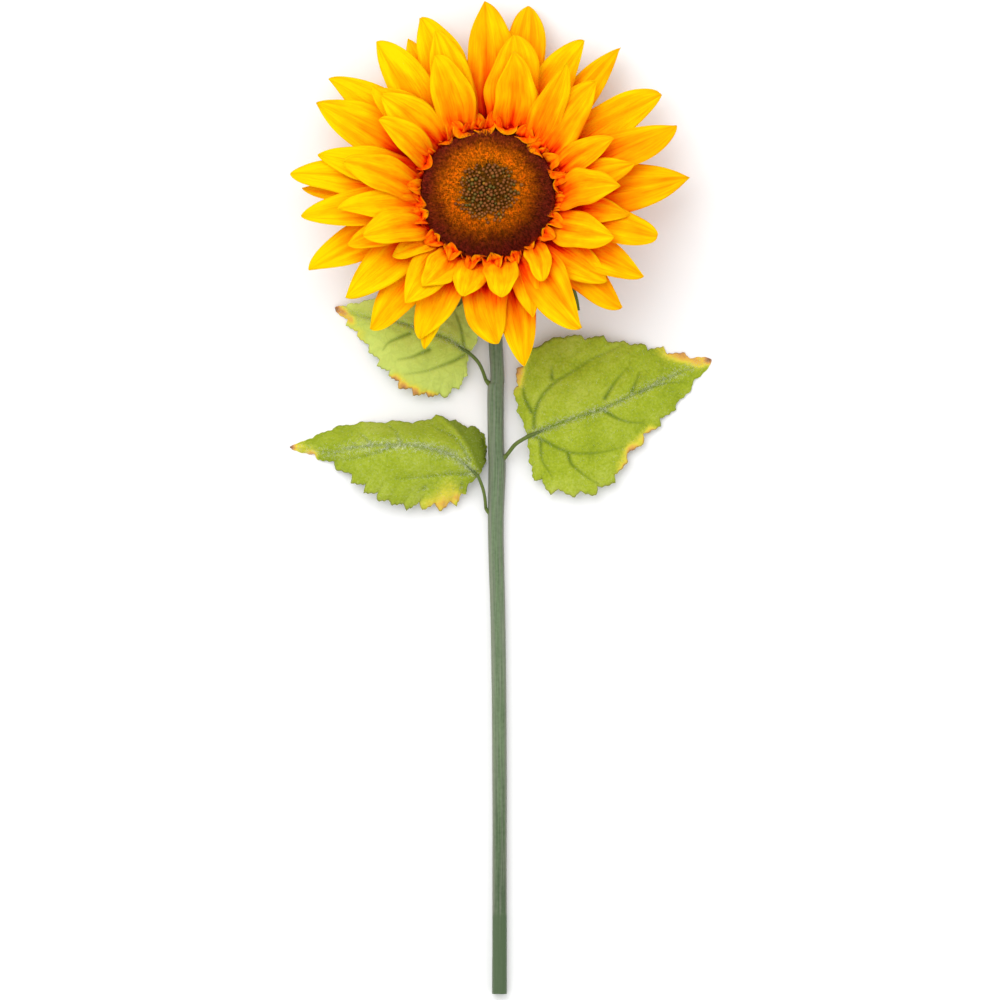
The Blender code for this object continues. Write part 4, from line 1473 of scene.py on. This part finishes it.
def leaf_plan(leaf):
    """The blade's points in plan, in millimetres, with height, fullness and share of the half width."""
    leaf_draw = random.Random(leaf["seed"])
    sides = ("left", "right")
    sizes = {side: [leaf_draw.uniform(0.45, 1.35) for _ in range(LEAF_TEETH + 1)] for side in sides}
    waves = {side: leaf_draw.uniform(0, 2 * math.pi) for side in sides}
    plan = []
    facts = []
    rows = LEAF_TEETH * TOOTH_ROWS
    for i in range(1, rows):
        share = i / rows
        run = share**RIB_EASE
        middle = Vector(along(leaf["rib"], run))
        ridge = along([(h,) for h in leaf["ridge"]], run)[0]
        full = min(1, END_FADE * share, END_FADE * (1 - run))
        for k in range(2 * LEAF_ACROSS + 1):
            v = k / LEAF_ACROSS - 1
            right = int(v >= 0)
            side = sides[right]
            edge = Vector(along(leaf[side], share))
            before, after = (Vector(along(leaf[side], share + step)) for step in (-EDGE_STEP, EDGE_STEP))
            out = (after - before).orthogonal().normalized()
            out *= math.copysign(1, out.dot(edge - middle))
            fade = leaf["teeth"][right] * min(1, TOOTH_FADES[0] * share, TOOTH_FADES[1] * (1 - share))
            cut = LEAF_TOOTH * tooth_profile(share * LEAF_TEETH, sizes[side])
            cut += FRAY * math.sin(2 * math.pi * FRAYS * share * LEAF_TEETH + waves[side])
            spot = middle.lerp(edge, abs(v)) + out * (fade * cut * abs(v) ** 6)
            height = ridge - leaf["fall"][right] * full * abs(v) ** FALL_POWER
            height += WAVE_HEIGHT * full * abs(v) * math.sin(WAVE_RATE * share + waves[side])
            plan.append((spot.x, spot.y))
            facts.append((height, full, abs(v)))
    return np.array(plan), np.array(facts).T

# %% [markdown]
# The pressed veins are dents in the cloth. For each point of the blade the nearest vein is looked up, which
# works for any line and needs no unwrapped map.

# %% Vein lines
VEIN_STEPS = 24
VEIN_FADE = 0.6


def veins_at(lines, spots, width):
    """For each spot the distance to the nearest vein, and how strongly that vein shows there."""
    nearest = np.full(len(spots), np.inf)
    runs = np.zeros(len(spots))
    for line in lines:
        knots = np.array([along(line, share) for share in shares(VEIN_STEPS)])
        for i, (start, end) in enumerate(zip(knots, knots[1:])):
            step = end - start
            share = np.clip((spots - start) @ step / (step @ step), 0, 1)
            gap = np.linalg.norm(spots - start - share[:, None] * step, axis=1)
            closer = gap < nearest
            nearest[closer] = gap[closer]
            runs[closer] = (i + share[closer]) / VEIN_STEPS
    # A vein is widest and darkest where it starts
    left = 1 - VEIN_FADE * runs
    return nearest, left * np.exp(-((nearest / (width * left)) ** 2))

# %% [markdown]
# The warm spray was aimed at the edge: round the tip and at single teeth. Each spot has a place, a radius and
# a strength, read off the picture. The very edge has a thin line of it everywhere.

# %% Leaf spray
WARM_INSIDE = 0.52
WARM_EDGE = 0.16


def warm_spray(leaf, plan, full, v):
    """How strongly the sprayed spots cover each point. Inside the blade they stay weaker than at its edge."""
    warm = np.zeros(len(plan))
    for x, y, radius, strength in leaf["warm"]:
        warm += strength * np.exp(-((np.hypot(plan[:, 0] - x, plan[:, 1] - y) / radius) ** 2))
    warm = np.minimum(warm, WARM_INSIDE + (1 - WARM_INSIDE) * np.maximum(v**10, 1 - full))
    return np.minimum(warm + WARM_EDGE * np.clip((v - 0.95) / 0.05, 0, 1), 1)

# %% [markdown]
# Now each blade gets its grooves where the veins are pressed in, the puffed cloth between them, and a small
# fold at the base of the leaf that is seen from the side, with painted shade on the cloth beyond its crease.
# The numbers for the paint are worked out with them.

# %% Leaf blade
LEAF_THICKNESS = 0.45 * MM
RIB_WIDTH = 2.0
VEIN_WIDTH = 1.7
GROOVE = 1.2
PUFF = 1.1
PUFF_WIDTH = 6
PUCKER = 0.35
FOLD_HEIGHT = 2.4
FOLD_WIDTH = 3
DOWN_WIDTH = 3.6


def make_blade(name, leaf):
    """Makes the blade and returns its points with the down on each of them."""
    plan, (height, full, v) = leaf_plan(leaf)
    rib_gap, rib_press = veins_at([leaf["midrib"]], plan, RIB_WIDTH)
    vein_gap, vein_press = veins_at(leaf["veins"], plan, VEIN_WIDTH)
    press = np.maximum(rib_press, vein_press)
    gap = np.minimum(rib_gap, vein_gap)
    x, y = plan.T
    height = height - GROOVE * press + PUFF * full * (1 - np.exp(-((gap / PUFF_WIDTH) ** 2)))
    height += PUCKER * full * np.sin(x * 0.55 + 2 * np.sin(y * 0.21)) * np.sin(y * 0.5)
    shade = np.zeros(len(plan))
    if "fold" in leaf:
        line = np.array(leaf["fold"][::-1])
        past = x - np.interp(y, line[:, 1], line[:, 0])
        inside = (y > line[0, 1]) & (y < line[-1, 1] + 8)
        # Painted shade on the cloth beyond the fold's crease
        shade = np.where(inside, np.clip(past / FOLD_WIDTH, 0, 1), 0)
        height += np.where(inside, FOLD_HEIGHT * np.exp(-((past / FOLD_WIDTH) ** 2)), 0)
    height = np.maximum(height, LEAF_THICKNESS / MM / 2)
    on_rib, on_veins = leaf["down"]
    down = full * (on_rib * (0.16 + np.exp(-((rib_gap / DOWN_WIDTH) ** 2))) + on_veins * vein_press)
    numbers = {
        "vein": leaf["vein"] * press * (0.3 + 0.7 * full),
        "rim": 0.5 * full * np.clip((v - 0.965) / 0.035, 0, 1),
        "warm": warm_spray(leaf, plan, full, v),
        "down": np.minimum(down, 1),
        "shade": leaf["dull"] + 0.6 * shade,
        "pale": leaf["pale"] * (0.35 + 0.65 * v),
    }
    width = 2 * LEAF_ACROSS + 1
    points = [Vector(spot) * MM for spot in zip(x, y, height)]
    grid = Grid()
    grid.add_sheet([points[i:i + width] for i in range(0, len(points), width)])
    grid.tell(numbers)
    new_piece(f"{name}_blade", grid, leaf_cloth, name, "leaf_green", LEAF_THICKNESS)
    return points, down


blades = {name: make_blade(name, leaf) for name, leaf in LEAVES.items()}

# %% [markdown]
# ## Down on the leaves
# Short pale fibres cling to the cloth, thickest along the middle rib. Each is a spike like the bristles of
# the disc, laid nearly flat on the blade.

# %% Leaf down
DOWN_FIBRES = 3600
FIBRE_WIDTH = 0.08 * MM

down_paint, _ = mottled_paint("leaf_down", (0.9, 0.05), (300, 2), (0.52, 0.58, 0.30), (0.80, 0.84, 0.66))

fibre_draw = random.Random(SEED + 60)
for name, (points, down) in blades.items():
    fibres = Grid()
    count = int(DOWN_FIBRES * LEAVES[name]["down"][0])
    for point in fibre_draw.choices(points, weights=list(down**2), k=count):
        foot = point + Vector((fibre_draw.uniform(-0.7, 0.7), fibre_draw.uniform(-0.7, 0.7), 0.2)) * MM
        angle = fibre_draw.uniform(0, 2 * math.pi)
        length = fibre_draw.uniform(1.0, 2.6) * MM
        tip = foot + round_point(1, angle, fibre_draw.uniform(0.05, 0.45)) * length
        fibres.add_spike(foot, tip, FIBRE_WIDTH * fibre_draw.uniform(0.7, 1.3))
    new_piece(f"{name}_down", fibres, down_paint, name, "leaf_green")

# %% [markdown]
# ## Leaf stalks
# Each stalk is a thin wire in green plastic. It grows out of a joint on the stem, rises to the leaf and
# runs on under the middle rib, getting thinner.

# %% Stalks
STALK_SIDES = 16
STALK_STEPS = 14
UNDER_RIB = 1.5
STALK_TAPER = 0.72

stalk_green = stem_paint(
    "stalk_green",
    dark=(0.026, 0.048, 0.006),
    plain=(0.075, 0.125, 0.016),
    pale=(0.180, 0.240, 0.060),
    flank_tint=(0.100, 0.110, 0.030),
    dipped=-0.2,
)


def stations(spots, radii):
    """Each spot with its heading, from the spot before it to the one after it, and its radius."""
    before = spots[:1] + spots[:-1]
    after = spots[1:] + spots[-1:]
    return [(spot, (b - a).normalized(), radius) for spot, a, b, radius in zip(spots, before, after, radii)]


def petiole_line(leaf):
    """The leaf stalk from its joint on the stem, and on along the underside of the middle rib."""
    bend = [Vector(p) * MM for p in leaf["petiole"]]
    spots = [Vector(along(bend, share)) for share in shares(STALK_STEPS)]
    under = [spots[-1]]
    for share in (0.12, 0.3, 0.5):
        x, y = along(leaf["rib"], share)
        z = along([(h,) for h in leaf["ridge"]], share)[0]
        under.append(Vector((x, y, z - UNDER_RIB)) * MM)
    spots += [Vector(along(under, share)) for share in shares(STALK_STEPS)[1:]]
    thins = [1 - STALK_TAPER * max(0, i / STALK_STEPS - 1) for i in range(len(spots))]
    return stations(spots, [leaf["stalk"] * MM * thin for thin in thins])


def stalk_section(angle, run):
    return 1 + 0.06 * math.cos(5 * angle) + 0.05 * math.sin(400 * run + angle)


for name, leaf in LEAVES.items():
    stalk = Grid()
    sweep(stalk, petiole_line(leaf), STALK_SIDES, stalk_section)
    new_piece(f"{name}_stalk", stalk, stalk_green, name, "leaf_green")

# %% [markdown]
# Each stalk grows out of the stem in a thickened joint that bends into the stem's middle.

# %% Leaf joints
JOINT_STEPS = 10
JOINT_SIDES = 20
JOINT_FOOT = -4.0 * MM
JOINT_DROP = 7 * MM
JOINT_ELBOW = 2.4 * MM
STALK_GAP = 0.3 * MM

joints = Grid()
for leaf in LEAVES.values():
    start, heading, radius = petiole_line(leaf)[0]
    foot = Vector((JOINT_FOOT, start.y - JOINT_DROP, STEM_REST))
    elbow = start - heading * JOINT_ELBOW
    end = start - heading * STALK_GAP
    steps = shares(JOINT_STEPS)
    spots = [foot * (1 - s) ** 2 + elbow * (2 * s * (1 - s)) + end * s**2 for s in steps]
    radii = [radius * (1.02 + (1 - s) ** 1.2) for s in steps]
    sweep(joints, stations(spots, radii), JOINT_SIDES, stalk_section)
new_piece("leaf_joints", joints, stalk_green, "stem", "stem_green")
